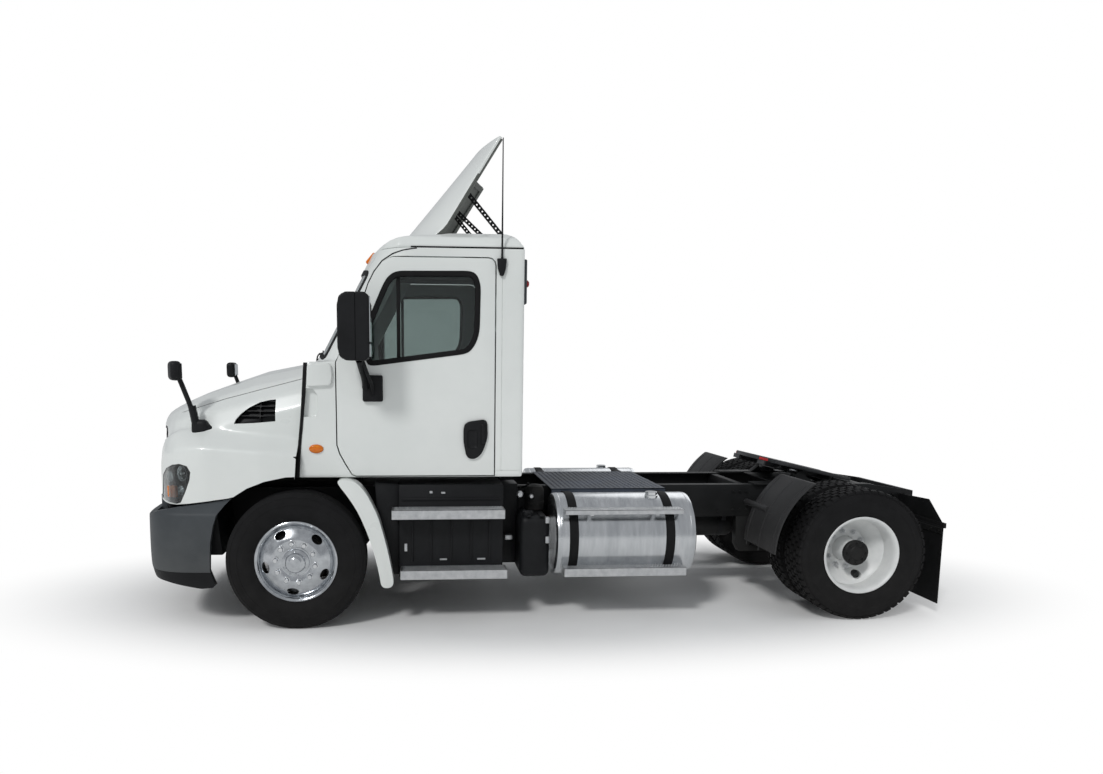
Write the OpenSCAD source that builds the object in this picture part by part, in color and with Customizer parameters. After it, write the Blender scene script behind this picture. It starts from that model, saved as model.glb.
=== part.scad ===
// Semi truck tractor unit: a day cab on a two-axle chassis with a fifth wheel.
// Millimetres. +X points forward, +Y to the truck's left, +Z up. The origin is on the
// ground, on the centreline, half way between the bumper and the rear end of the frame.

/* [Overall] */
// Distance from the front of the bumper to the front axle
front_overhang = 1210; // [1150:1:1500]
// Distance between the front and the rear axle
wheelbase = 4250; // [4000:1:5400]
// Distance from the rear axle to the rear end of the frame
rear_overhang = 840; // [760:1:1100]
// Distance from the front of the bumper to the back of the cab
bumper_to_cab_back = 2870; // [2780:1:3100]
// Width across the cab and its closed doors
cab_w = 2060; // [1900:1:2500]
// Height of the underside of the cab
cab_floor_z = 1100; // [1080:1:1150]
// Height of the cab walls, from the underside to the roof joint
cab_wall_h = 1650; // [1600:1:2000]

/* [Wheels] */
// Outside diameter of each tyre
tyre_d = 1012; // [900:1:1024]
// Width of each tyre
tyre_w = 275; // [230:1:290]
// Diameter of the rim's bead seat
rim_d = 571; // [500:1:600]
// Width across the front tyres
front_width = 2380; // [2330:1:2480]
// Width across the rear twin tyres
rear_width = 2410; // [2380:1:2600]
// Distance between the centres of two twin tyres
dual_spacing = 336; // [310:1:360]
// Number of hand holes in each wheel disc
hand_holes = 5; // [3:1:8]

/* [Steering] */
// Distance between the two kingpins
kingpin_track = 1800; // [1740:1:1810]
// Diameter of each kingpin
kingpin_d = 50; // [40:1:56]
// Distance from each kingpin back to the eye of the tie rod
steer_arm = 170; // [150:1:190]
// Diameter of the steering wheel
steering_wheel_d = 450; // [380:1:500]

/* [Chassis] */
// Width over the outside of the frame rails
frame_w = 865; // [780:1:900]
// Depth of each frame rail
rail_h = 270; // [200:1:300]
// Width of each rail's flanges
rail_flange = 89; // [60:1:95]
// Thickness of each rail
rail_t = 10; // [6:1:14]
// Height of the top of the frame rails
rail_top_z = 950; // [930:1:960]
// Diameter of each fuel tank
tank_d = 640; // [500:1:660]
// Length of each fuel tank
tank_len = 1100; // [800:1:1300]

/* [Cab] */
// Thickness of the cab walls and of the doors
wall_t = 60; // [40:1:70]
// Gap round each door
door_gap = 8; // [6:1:14]
// Thickness of the window glass
glass_t = 8; // [5:1:12]
// Angle of the windscreen from upright
screen_angle = 28; // [24:1:32]
// Height of the roof cap over the roof joint
roof_rise = 205; // [150:1:260]
// Thickness of the roof cap, hood and wings
shell_t = 35; // [25:1:45]

/* [Fairing] */
// Height of the top edge of the roof fairing
fairing_top_z = 3575; // [3300:1:3900]
// Width of the roof fairing
fairing_w = 1720; // [1400:1:1800]
// Thickness of the fairing panel
fairing_t = 22; // [15:1:40]

/* [Fifth wheel] */
// Height of the fifth wheel's tilt pin
fifth_pin_z = 1015; // [1010:1:1060]
// Distance from the rear axle forward to the tilt pin
fifth_offset = 150; // [0:1:300]
// Width of the coupling plate
plate_w = 920; // [800:1:960]
// Thickness of the coupling plate
plate_t = 30; // [20:1:32]
// Rest tilt of the coupling plate, front edge up
plate_tilt = 13; // [8:1:14]
// Diameter of the bore that locks on the trailer's kingpin
lock_d = 51.4; // [51:0.1:55]
// Length of the bore that locks on the trailer's kingpin
lock_len = 50; // [40:1:60]

/* [Hidden] */

$fn = 64;
// Running clearance between curved faces of different bodies
fit = 0.4;
// Small overlap that joins two shapes of one piece, or carries a cut past a face
eps = 1;

length = front_overhang + wheelbase + rear_overhang;
front_x = length / 2 - front_overhang;
rear_x = front_x - wheelbase;
cab_back = front_overhang - bumper_to_cab_back;
roof_z = cab_floor_z + cab_wall_h;
cab_side = cab_w / 2;
tyre_r = tyre_d / 2;
rim_r = rim_d / 2;
hub_z = tyre_r;
front_tyre_y = (front_width - tyre_w) / 2;
dual_y = rear_width / 2 - tyre_w / 2 - dual_spacing / 2;
kingpin_y = kingpin_track / 2;
rail_y = frame_w / 2;
rail_z0 = rail_top_z - rail_h;

// ---------- shared shapes ----------

// A block between two corners
module block(x, y, z) {
    translate([x[0], y[0], z[0]]) cube([x[1] - x[0], y[1] - y[0], z[1] - z[0]]);
}

// A plate with its outline in X and Z, between two values of Y
module side_plate(points, y) {
    translate([0, y[1], 0]) rotate([90, 0, 0]) linear_extrude(y[1] - y[0]) polygon(points);
}

// A plate with its outline in X and Y, between two values of Z
module plan_plate(points, z) {
    translate([0, 0, z[0]]) linear_extrude(z[1] - z[0]) polygon(points);
}

// A plate with its outline in Y and Z, between two values of X
module front_plate(points, x) {
    translate([x[0], 0, 0]) rotate([90, 0, 90]) linear_extrude(x[1] - x[0]) polygon(points);
}

// A round bar along X, Y or Z
module bar_x(d, x, y, z) {
    translate([x[0], y, z]) rotate([0, 90, 0]) cylinder(d = d, h = x[1] - x[0]);
}
module bar_y(d, x, y, z) {
    translate([x, y[0], z]) rotate([-90, 0, 0]) cylinder(d = d, h = y[1] - y[0]);
}
module bar_z(d, x, y, z) {
    translate([x, y, z[0]]) cylinder(d = d, h = z[1] - z[0]);
}

// A round bar between any two points
module bar(d, a, b) {
    v = b - a;
    l = norm(v);
    translate(a) rotate([0, acos(v[2] / l), atan2(v[1], v[0])]) cylinder(d = d, h = l);
}

// A shape and its mirror image across the centreline
module both() {
    children();
    mirror([0, 1, 0]) children();
}

// Points mirrored across Y, to close a symmetric outline
function mirrored(p) = concat(p, [for (i = [len(p) - 1:-1:0]) if (p[i][1] != 0) [p[i][0], -p[i][1]]]);
function mirrored_yz(p) = concat(p, [for (i = [len(p) - 1:-1:0]) if (p[i][0] != 0) [-p[i][0], p[i][1]]]);

// Where things stand along the truck
module at_front() { translate([front_x, 0, 0]) children(); }
module at_rear() { translate([rear_x, 0, 0]) children(); }
module at_fifth_wheel() { translate([rear_x + fifth_offset, 0, fifth_pin_z]) children(); }

// ---------- chassis ----------

rail_front = front_overhang - 110;
module frame_rail() {
    block([rear_x - rear_overhang, front_x + rail_front], [rail_y - rail_t, rail_y], [rail_z0, rail_top_z]);
    for (z = [rail_z0, rail_top_z - rail_t])
        block([rear_x - rear_overhang, front_x + rail_front], [rail_y - rail_flange, rail_y - rail_t + eps],
            [z, z + rail_t]);
}
module frame_rail_left() { color("#1c1d1f") frame_rail(); }
module frame_rail_right() { color("#1c1d1f") mirror([0, 1, 0]) frame_rail(); }

// Crossmembers between the rails: one ahead of the radiator, one behind the gearbox,
// two round the rear axle and a closing member with the recovery plate at the tail
member_t = 60;
cab_mount_x = [-380, front_overhang - bumper_to_cab_back + 100];
member_x = [front_x + rail_front - 60, front_x - 1480, front_x - 2300,
    rear_x + 620, rear_x - 420, rear_x - rear_overhang + member_t / 2];
module frame_crossmembers() {
    y = rail_y - rail_t;
    color("#202124") {
        for (x = member_x)
            block([x - member_t / 2, x + member_t / 2], [-y, y], [rail_z0 + 70, rail_top_z - rail_t]);
        // the cab's four mounts, on the rails
        both() for (x = cab_mount_x)
            block([front_x + x - 45, front_x + x + 45], [rail_y - 80, rail_y - 5], [rail_top_z, cab_floor_z]);
    }
}

bumper_t = 60;
// The hood tips forward on two pins over the bumper's top edge
hood_pin = [front_overhang - 35, 935];
hinge_y = [[470, 520], [520 + fit, 565]];
bumper_top_front = 905;
bumper_top_rear = 1010;
bumper_outline = [[1210, 0], [1203, 300], [1176, 600], [1120, 850], [1040, 1010], [930, 1105], [800, 1135],
    [540, 1140]];
bumper_inside = [[1150, 0], [1143, 300], [1118, 580], [1068, 810], [1000, 950], [910, 1035], [790, 1072],
    [500, 1078]];
// How far the bumper's nose stands ahead of where the outline was drawn
nose = front_overhang - 1210;
module bumper_ring(points, z) {
    translate([nose, 0, 0]) plan_plate(mirrored(points), z);
}
module front_bumper() {
    side = [[1230, 420], [1180, 370], [960, 350], [700, 290], [590, 325], [622, 443], [612, 640],
        [560, 850], [455, bumper_top_rear], [985, bumper_top_front + 20], [1060, bumper_top_front],
        [1230, bumper_top_front]];
    color("#45484b") at_front() {
        intersection() {
            difference() {
                bumper_ring(bumper_outline, [260, 1100]);
                bumper_ring(bumper_inside, [250, 1110]);
            }
            translate([nose, 0, 0]) side_plate(side, [-1200, 1200]);
        }
        both() block([rail_front, front_overhang - bumper_t - 8], [rail_y - rail_flange, rail_y],
            [rail_z0 + 20, rail_top_z - 50]);
        both() block([hood_pin[0] - 12, hood_pin[0] + 6], hinge_y[1], [bumper_top_front - 6, hood_pin[1]]);
        both() bar_y(24, hood_pin[0], hinge_y[1], hood_pin[1]);
    }
}

radiator_x = 900;
module radiator() {
    w = rail_y - rail_flange;
    color("#2b2d2f") at_front() block([radiator_x, radiator_x + 90], [-w, w], [rail_z0 - 60, 1440]);
}

// Engine: a plain block between the rails and a wider one above them, then the bell
// housing, the gearbox and its output flange
engine_x = [-230, 800];
gearbox_x = [-1180, -230];
output_z = rail_z0 + 10;
pinion_len = 430;
shaft_d = 100;
joint_d = 150;
// The driveshaft's two ends, and its direction towards the rear axle
shaft_front = [front_x + gearbox_x[0] - 70, 0, output_z];
shaft_rear = [rear_x + pinion_len, 0, hub_z + 20];
shaft_way = (shaft_rear - shaft_front) / norm(shaft_rear - shaft_front);
module engine_and_gearbox() {
    low = rail_y - rail_flange - 25;
    color("#3c3f41") bar(joint_d, shaft_front - 80 * shaft_way, shaft_front);
    color("#3c3f41") at_front() {
        block(engine_x, [-low, low], [490, rail_top_z + 60]);
        block(engine_x, [-400, 400], [rail_top_z + 40, 1560]);
        block([gearbox_x[0] + 500, gearbox_x[1]], [-270, 270], [480, rail_top_z - 20]);
        block([gearbox_x[0], gearbox_x[0] + 500], [-190, 190], [500, rail_top_z - 60]);
    }
}

module driveshaft() {
    joint_len = 60;
    // Room for a gasket between the flanges at each end
    gasket = 0.2 * shaft_way;
    color("#33363a") {
        bar(shaft_d, shaft_front + gasket, shaft_rear - gasket);
        bar(joint_d, shaft_front + gasket, shaft_front + joint_len * shaft_way);
        bar(joint_d, shaft_rear - joint_len * shaft_way, shaft_rear - gasket);
    }
}

// ---------- front axle and steering ----------

beam_z = [345, 440];
boss_d = 110;
boss_z = [hub_z - 85, hub_z + 85];
module front_axle_beam() {
    drop = 560;
    end = kingpin_y - boss_d / 2 + 10;
    points = mirrored_yz([[drop, beam_z[0]], [drop + 90, hub_z - 70], [end, hub_z - 50], [end, hub_z + 50],
        [drop + 90, hub_z + 40], [drop - 20, beam_z[1]]]);
    color("#26282a") at_front() difference() {
        union() {
            front_plate(points, [-45, 45]);
            both() bar_z(boss_d, 0, kingpin_y, boss_z);
        }
        both() bar_z(kingpin_d + 2 * fit, 0, kingpin_y, [boss_z[0] - eps, boss_z[1] + eps]);
    }
}

spring_y = 395;
module front_springs() {
    h = 50;
    top = rail_z0 - 30;
    leaf = [[-760, top - h], [-400, beam_z[1] + 70], [-120, beam_z[1]], [120, beam_z[1]],
        [400, beam_z[1] + 70], [760, top - h], [760, top], [400, beam_z[1] + 70 + h],
        [120, beam_z[1] + h], [-120, beam_z[1] + h], [-400, beam_z[1] + 70 + h], [-760, top]];
    color("#1f2022") at_front() both() {
        side_plate(leaf, [spring_y - 38, spring_y + 37]);
        for (x = [-740, 690]) block([x, x + 50], [spring_y - 38, rail_y], [top - eps, rail_z0]);
    }
}

// Each knuckle: a fork over and under the axle's boss, its kingpin, the stub axle that
// carries the wheel, and the arm back to the tie rod
fork_gap = 4;
fork_t = 45;
stub_d = 70;
eye_z = boss_z[0] - fork_gap - fork_t / 2;
module knuckle() {
    web = [kingpin_y + boss_d / 2 + 8, kingpin_y + boss_d / 2 + 45];
    lower = [boss_z[0] - fork_gap - fork_t, boss_z[0] - fork_gap];
    upper = [boss_z[1] + fork_gap, boss_z[1] + fork_gap + fork_t];
    union() {
        for (z = [lower, upper]) {
            block([-48, 48], [kingpin_y, web[1]], z);
            bar_z(96, 0, kingpin_y, z);
        }
        block([-60, 60], web, [lower[0], upper[1]]);
        bar_z(kingpin_d, 0, kingpin_y, [lower[0] + eps, upper[1] - eps]);
        bar_y(stub_d, 0, [web[0] + eps, front_tyre_y + 60], hub_z);
        block([-steer_arm, 0], [kingpin_y - 22, kingpin_y + 22], lower);
        bar_z(44, -steer_arm, kingpin_y, lower);
        bar_z(26, -steer_arm, kingpin_y, [lower[0] - 40, lower[0] + eps]);
    }
}
module knuckle_left() { color("#2b2d2f") at_front() knuckle(); }
module knuckle_right() { color("#2b2d2f") at_front() mirror([0, 1, 0]) knuckle(); }

module tie_rod() {
    z = [boss_z[0] - fork_gap - fork_t - 36, boss_z[0] - fork_gap - fork_t - 4];
    color("#2f3133") at_front() translate([-steer_arm, 0, 0]) difference() {
        union() {
            both() bar_z(52, 0, kingpin_y, z);
            bar_y(30, 0, [-kingpin_y, kingpin_y], (z[0] + z[1]) / 2);
        }
        both() bar_z(26 + 2 * fit, 0, kingpin_y, [z[0] - eps, z[1] + eps]);
    }
}

// ---------- wheels ----------

// Everything here is made round the Y axis, its outer side towards +Y
module turned(points) { rotate([-90, 0, 0]) rotate_extrude($fn = 96) polygon(points); }

module tyre() {
    w = tyre_w / 2;
    turned([[rim_r, -w + 32], [rim_r + 14, -w + 24], [rim_r + 60, -w + 5], [rim_r + 110, -w],
        [tyre_r - 55, -w + 6], [tyre_r - 22, -w + 18], [tyre_r - 6, -w + 32], [tyre_r, -w + 62],
        [tyre_r, w - 62], [tyre_r - 6, w - 32], [tyre_r - 22, w - 18], [tyre_r - 55, w - 6],
        [rim_r + 110, w], [rim_r + 60, w - 5], [rim_r + 14, w - 24], [rim_r, w - 32]]);
}

// Half the width between the rim's flanges, which hold the tyre's beads
rim_half = tyre_w / 2 - 26;
rim_wall = 14;
module rim_barrel() {
    r = rim_r - fit / 4;
    turned([[r - rim_wall, -rim_half], [r + 12, -rim_half - 10], [r + 12, -rim_half - 2],
        [r, -rim_half + 4], [r, rim_half - 4], [r + 12, rim_half + 2], [r + 12, rim_half + 10],
        [r - rim_wall, rim_half]]);
}

// Radius of the flat that bolts to the hub, and radius of the hand holes' ring
nave_r = 168;
hole_ring_r = 214;
module hand_hole_cuts(y) {
    for (i = [0:hand_holes - 1]) rotate([0, i * 360 / hand_holes + 90, 0])
        bar_y(54, hole_ring_r, y, 0);
}

disc_t = 20;
module front_disc() {
    r = rim_r - rim_wall;
    difference() {
        turned([[stub_d / 2 + 45, 118], [nave_r - 8, 118], [r - 40, 80], [r - 16, 46], [r + 2, 40],
            [r + 2, 64], [r - 12, 84], [r - 34, 104], [nave_r, 118 + disc_t],
            [stub_d / 2 + 45, 118 + disc_t]]);
        hand_hole_cuts([0, 200]);
    }
}

module front_hub() {
    bore_d = stub_d + 2 * fit;
    difference() {
        union() {
            bar_y(170, 0, [-40, 118 + disc_t + 4], 0);
            bar_y(130, 0, [118 + disc_t, 178], 0);
            turned([[84, 40], [200, 40], [200, -55], [212, -55], [212, 62], [84, 62]]);
        }
        bar_y(bore_d, 0, [-41, 70], 0);
    }
}

module front_tyre() { translate([front_x, front_tyre_y, hub_z]) tyre(); }
module front_rim() {
    translate([front_x, front_tyre_y, hub_z]) {
        rim_barrel();
        front_disc();
        front_hub();
    }
}
module front_tyre_left() { color("#17181a") front_tyre(); }
module front_tyre_right() { color("#17181a") mirror([0, 1, 0]) front_tyre(); }
module front_rim_left() { color("#d4d6d8") front_rim(); }
module front_rim_right() { color("#d4d6d8") mirror([0, 1, 0]) front_rim(); }

// Both wheels of a pair bolt to the hub at y = 0, and dish away from each other
module dual_disc() {
    r = rim_r - rim_wall;
    h = dual_spacing / 2;
    difference() {
        turned([[100, 0], [nave_r, 0], [r - 30, h - 88], [r - 14, h - 66], [r + 2, h - 60], [r + 2, h - 34],
            [r - 20, h - 44], [r - 44, h - 66], [nave_r - 6, disc_t], [100, disc_t]]);
        hand_hole_cuts([-10, h]);
    }
}

spindle_d = 100;
module rear_hub() {
    difference() {
        union() {
            bar_y(204, 0, [-60, disc_t + 20], 0);
            bar_y(180, 0, [disc_t, 130], 0);
            turned([[100, -50], [208, -50], [208, -230], [222, -230], [222, -28], [100, -28]]);
        }
        bar_y(spindle_d + 2 * fit, 0, [-61, 60], 0);
    }
}
module rear_tyres() {
    translate([rear_x, dual_y, hub_z])
        for (s = [-1, 1]) translate([0, s * dual_spacing / 2, 0]) tyre();
}
module rear_rims() {
    translate([rear_x, dual_y, hub_z]) {
        for (s = [-1, 1]) translate([0, s * dual_spacing / 2, 0]) rim_barrel();
        dual_disc();
        mirror([0, 1, 0]) dual_disc();
        rear_hub();
    }
}
module rear_tyres_left() { color("#17181a") rear_tyres(); }
module rear_tyres_right() { color("#17181a") mirror([0, 1, 0]) rear_tyres(); }
module rear_rims_left() { color("#e4e5e6") rear_rims(); }
module rear_rims_right() { color("#e4e5e6") mirror([0, 1, 0]) rear_rims(); }

module rear_axle_housing() {
    inner_face = dual_y - 230;
    color("#26282a") bar(joint_d, shaft_rear, shaft_rear + 50 * shaft_way);
    color("#26282a") at_rear() translate([0, 0, hub_z]) {
        bar_y(140, 0, [-inner_face + 30, inner_face - 30], 0);
        both() bar_y(spindle_d, 0, [inner_face - 31, dual_y + 50], 0);
        bar_x(400, [-110, 110], 0, 0);
        bar_x(240, [-170, 200], 0, 10);
        bar_x(joint_d - 34, [190, pinion_len - 22], 0, 20);
    }
}

// Rear air suspension: hanger, trailing arm under the axle and air spring on each side
arm_y = rail_y - 40;
module rear_suspension() {
    arm_z = hub_z - 125;
    color("#222325") at_rear() both() {
        side_plate([[560, rail_z0], [700, rail_z0], [690, arm_z + 60], [660, arm_z], [600, arm_z],
            [570, arm_z + 60]], [arm_y - 45, arm_y + 40]);
        block([-430, 640], [arm_y - 40, arm_y + 40], [arm_z, arm_z + 50]);
        block([-80, 80], [arm_y - 40, arm_y + 40], [arm_z + 49, hub_z - 70.5]);
        bar_z(230, -340, arm_y, [arm_z + 49, rail_z0 - 12]);
        block([-420, -260], [arm_y - 60, rail_y], [rail_z0 - 13, rail_z0]);
    }
}

// ---------- hood with the front wings ----------

hood_half = 985;
wing_half = 1145;
// One slice of the hood or of a wing: a thin plate across the truck
module slice(x, points) {
    translate([x, 0, 0]) rotate([90, 0, 90]) linear_extrude(1) polygon(points);
}
// Half outline of the hood at one place along it: centre height, shoulder height and half width
function hood_outline(top, shoulder, half, t) = mirrored_yz([[0.0, top - t],
    [half * 0.45, top - (top - shoulder) * 0.18 - t], [half * 0.74, top - (top - shoulder) * 0.5 - t],
    [half * 0.93 - t * 0.6, shoulder - t * 0.6], [half - t, shoulder - 130], [half - t, 900 - t * 2]]);
// Places along the hood: x, centre height, shoulder height, half width
hood_places = [[1206, 1420, 1300, 700], [1195, 1490, 1350, 760], [1070, 1582, 1440, 860],
    [840, 1692, 1520, 930], [345, 1868, 1650, 975], [-62, 1945, 1745, hood_half]];
module hood_volume(t) {
    hull() for (p = hood_places)
        slice(nose + p[0] - (p[0] > 0 ? t : 3 * t), hood_outline(p[1], p[2], p[3], t));
}
// Places along a wing: x, height of its top, half width at the top and at the bulge
wing_places = [[1120, 1300, 780, 860], [1040, 1390, 850, 960], [900, 1440, 900, 1070],
    [640, 1460, 930, 1135], [250, 1430, 950, wing_half], [-30, 1390, 960, 1110]];
module wing_volume(t) {
    hull() for (p = wing_places)
        slice(nose + p[0] - (p[0] > 0 ? t : 3 * t),
            [[500, 900 - t * 2], [500, p[1] - t], [p[2] - t, p[1] - t], [p[3] - t * 1.4, p[1] - 130 - t],
            [p[3] - t, 900 - t * 2]]);
}
// Side outline of the hood: front, top run-out, rear edge along the cab, wheel arch
hood_side = [[1215 + nose, 952], [1215 + nose, 2000], [-62, 2000], [-62, 1930], [4, 1100],
    [4, 1125], [206, 1104], [383, 1042], [470, 1022], [985, 962], [1060, 952]];
vent_outline = [[452, 1490], [150, 1510], [150, 1668], [260, 1650]];
light_outline = [[992, 1010], [1010, 1190], [950, 1230], [820, 1225], [765, 1120], [800, 960], [900, 940]];
grille_half = 560;
grille_z = [1000, 1440];
module grille_cut() {
    w = [grille_half, grille_half - 60];
    front_plate([[-w[1], grille_z[0]], [w[1], grille_z[0]], [w[0], grille_z[1] - 60],
        [w[1], grille_z[1]], [-w[1], grille_z[1]], [-w[0], grille_z[1] - 60]],
        [1000 + nose, 1300 + nose]);
}
module hood() {
    color("#eceeec") at_front() {
        difference() {
            intersection() {
                union() {
                    hood_volume(0);
                    both() wing_volume(0);
                }
                side_plate(hood_side, [-1200, 1200]);
            }
            hood_volume(shell_t);
            both() wing_volume(shell_t);
            grille_cut();
            both() side_plate(vent_outline, [700, 1200]);
            both() translate([nose, 0, 0]) side_plate(light_outline, [700, 1200]);
        }
        both() block([hood_pin[0] - 12, hood_pin[0] + 6], hinge_y[0], [hood_pin[1], hood_pin[1] + 40]);
        both() bar_y(24, hood_pin[0], hinge_y[0], hood_pin[1]);
    }
}
module grilles() {
    color("#1d1e20") at_front() {
        intersection() {
            grille_cut();
            difference() {
                hood_volume(8);
                hood_volume(shell_t - 5);
            }
        }
    }
}

module headlights() {
    color("#c9d2d6") at_front() both() intersection() {
        translate([nose, 0, 0]) side_plate(light_outline, [700, 1200]);
        side_plate(hood_side, [700, 1200]);
        difference() {
            union() {
                hood_volume(6);
                wing_volume(6);
            }
            union() {
                hood_volume(shell_t);
                wing_volume(shell_t);
            }
        }
    }
}

hood_mirror_base = [690, 930, 1445];
hood_mirror_head = [850, 955, 1860];
mirror_head_w = 170;
module hood_mirrors() {
    b = hood_mirror_base;
    h = hood_mirror_head;
    color("#141516") at_front() both() difference() {
        translate([nose, 0, 0]) {
            side_plate([[b[0] - 14, b[2]], [b[0] + 14, b[2]], [h[0] + 10, h[2]], [h[0] - 10, h[2]]],
                [b[1], b[1] + 22]);
            block([b[0] - 45, b[0] + 45], [b[1] - 35, b[1] + 22], [b[2] - 45, b[2] + 5]);
            block([h[0] - 30, h[0] + 45], [h[1] - mirror_head_w / 2, h[1] + mirror_head_w / 2],
                [h[2] - 60, h[2] + 75]);
        }
        hood_volume(0);
        wing_volume(0);
    }
}

// ---------- cab ----------

cowl_x = [-62, -10];
firewall_x = [-290, -250];
cowl_top = 1930;
waist_z = 1940;
screen_foot = -80;
door_front = -290;
door_rear = cab_back + 205;
door_foot = cab_floor_z + 6;
// Room inside the cab wall for the door's front edge as it swings
door_sweep = 12;
// Door hinge: its axis, its pin's size, and the heights of the two hinges' lower halves
hinge = [door_front - door_gap - 25, cab_side + 10];
hinge_d = 16;
hinge_z = [cab_floor_z + 300, cab_floor_z + 700];
hinge_h = 40;
// How far the roof line stands above where the outlines were drawn
lift = roof_z - 2750;

// Upper cab: the outline seen along the windscreen's slope, swept up that slope
function screen_outline(t) = [[-t, 0], [-12 - t, 420], [-55 - t, 740], [-115 - t, 900],
    [-200 - t, cab_side - 22 - t], [-300 - t, cab_side - t], [-2600, cab_side - t]];
module screen_sweep(t) {
    translate([screen_foot, 0, waist_z]) rotate([0, -screen_angle, 0])
        translate([0, 0, -900]) plan_plate(mirrored(screen_outline(t)), [0, 2600]);
}
module upper_cab(t, z) {
    intersection() {
        screen_sweep(t);
        block([cab_back + t, 400], [-cab_side + t, cab_side - t], z);
    }
}

// The opening of the windscreen, and of the rear window, less a margin all round
screen_half = 850;
module screen_cut(margin) {
    translate([screen_foot, 0, waist_z]) rotate([0, -screen_angle, 0])
        block([-240, 60], [-screen_half + margin, screen_half - margin],
            [70 + margin, cab_wall_h - 860 - margin]);
}
rear_window_z = [2080, 2500];
module rear_window_cut(x) {
    block(x, [-480, 480], rear_window_z);
}

// Outline of the door opening in side view, moved inwards by a gap
function door_outline(g) = [[door_rear + g, door_foot + g], [-430 - g / 2, door_foot + g],
    [-352 - g, door_foot + 90 + g / 2], [door_front - g, door_foot + 240], [door_front - g, 1940],
    [-562 - g, 2555 + lift], [-620 - g, 2640 - g / 2 + lift], [-706 - g / 2, roof_z - 58 - g],
    [door_rear + 60 + g / 2, roof_z - 58 - g], [door_rear + g, roof_z - 118 - g / 2]];
// Outline of the door's window, top and bottom run past the glass
function window_outline(m) = [[-549 - m, 1928 + m], [-517 - m, 2169], [-655 - m, 2486 + lift],
    [-741, 2571 - m + lift], [door_rear + 195, 2578 - m + lift], [door_rear + 130 + m, 2495 + lift],
    [door_rear + 136 + m, 2176], [door_rear + 230, 2018 + m]];

// One half of a hinge, its leaf reaching a given distance along the truck
module hinge_half(z, reach) {
    bar_z(hinge_d, hinge[0], hinge[1], [z, z + hinge_h]);
    block(reach > 0 ? [hinge[0], hinge[0] + reach] : [hinge[0] + reach, hinge[0]],
        [hinge[1] - 4, hinge[1] + 4], [z, z + hinge_h]);
    block(reach > 0 ? [hinge[0] + reach - 22, hinge[0] + reach] : [hinge[0] + reach, hinge[0] + reach + 22],
        [cab_side - eps, hinge[1] + 4], [z, z + hinge_h]);
}
module cab_shell() {
    i = wall_t;
    color("#eceeec") at_front() both() for (z = hinge_z) hinge_half(z, 60);
    color("#eceeec") at_front() difference() {
        union() {
            // lower cab, up to the waist, and the cowl's two side panels and top
            block([cab_back, door_front + 60], [-cab_side, cab_side], [cab_floor_z, waist_z + eps]);
            side_plate([[cowl_x[1], cab_floor_z], [cowl_x[0] - 8, cowl_top], [cowl_x[0] - 30, waist_z],
                [door_front, waist_z], [door_front, cab_floor_z]], [-cab_side, cab_side]);
            upper_cab(0, [waist_z, roof_z]);
        }
        // inside of the cab, and the engine's space under the cowl
        block([cab_back + i, firewall_x[0]], [-cab_side + i, cab_side - i],
            [cab_floor_z + i, waist_z + 2 * eps]);
        upper_cab(i, [waist_z, roof_z + eps]);
        block([firewall_x[1], 100], [-cab_side + i, cab_side - i], [cab_floor_z - eps, cowl_top - 40]);
        both() side_plate(door_outline(0), [cab_side - i - door_sweep, cab_side + eps]);
        screen_cut(0);
        rear_window_cut([cab_back - eps, cab_back + i + eps]);
    }
}

// Roof cap: a domed shell over the walls
roof_side_in = 22;
// Where the roof's rear edge starts to curve down, and where it meets its full height
roof_back = [60, 100];
roof_full = [240, roof_rise + 5];
function roof_foot(t) = roof_z - (t > 0 ? eps : 0);
function roof_section(t) = mirrored_yz([[cab_side - roof_side_in - t, roof_foot(t)],
    [cab_side - roof_side_in - t, roof_z + 25], [cab_side - 62 - t, roof_z + 85 - t / 2],
    [cab_side - 180 - t, roof_z + 130 - t], [cab_side - 530, roof_z + roof_rise - 25 - t],
    [200, roof_z + roof_rise - t]]);
function roof_side(t) = [[cab_back + t, roof_foot(t)], [cab_back + t, roof_z + 20],
    [cab_back + roof_back[0] + t, roof_z + roof_back[1]],
    [cab_back + roof_full[0] + t, roof_z + roof_full[1]],
    [-760 - t, roof_z + roof_full[1]], [-630 - t, roof_z + 150], [-530 - t, roof_z + 40],
    [-505 - t, roof_foot(t)]];
module roof_volume(t) {
    intersection() {
        front_plate(roof_section(t), [cab_back, -400]);
        side_plate(roof_side(t), [-cab_side, cab_side]);
        screen_sweep(t);
    }
}
module cab_roof() {
    color("#eceeec") at_front() difference() {
        roof_volume(0);
        roof_volume(shell_t);
    }
}

module cab_glass() {
    color("#5a6a72", 0.6) at_front() {
        intersection() {
            screen_cut(0);
            difference() {
                screen_sweep(10);
                screen_sweep(10 + glass_t);
            }
        }
        rear_window_cut([cab_back + 15, cab_back + 15 + glass_t]);
    }
}

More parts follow.
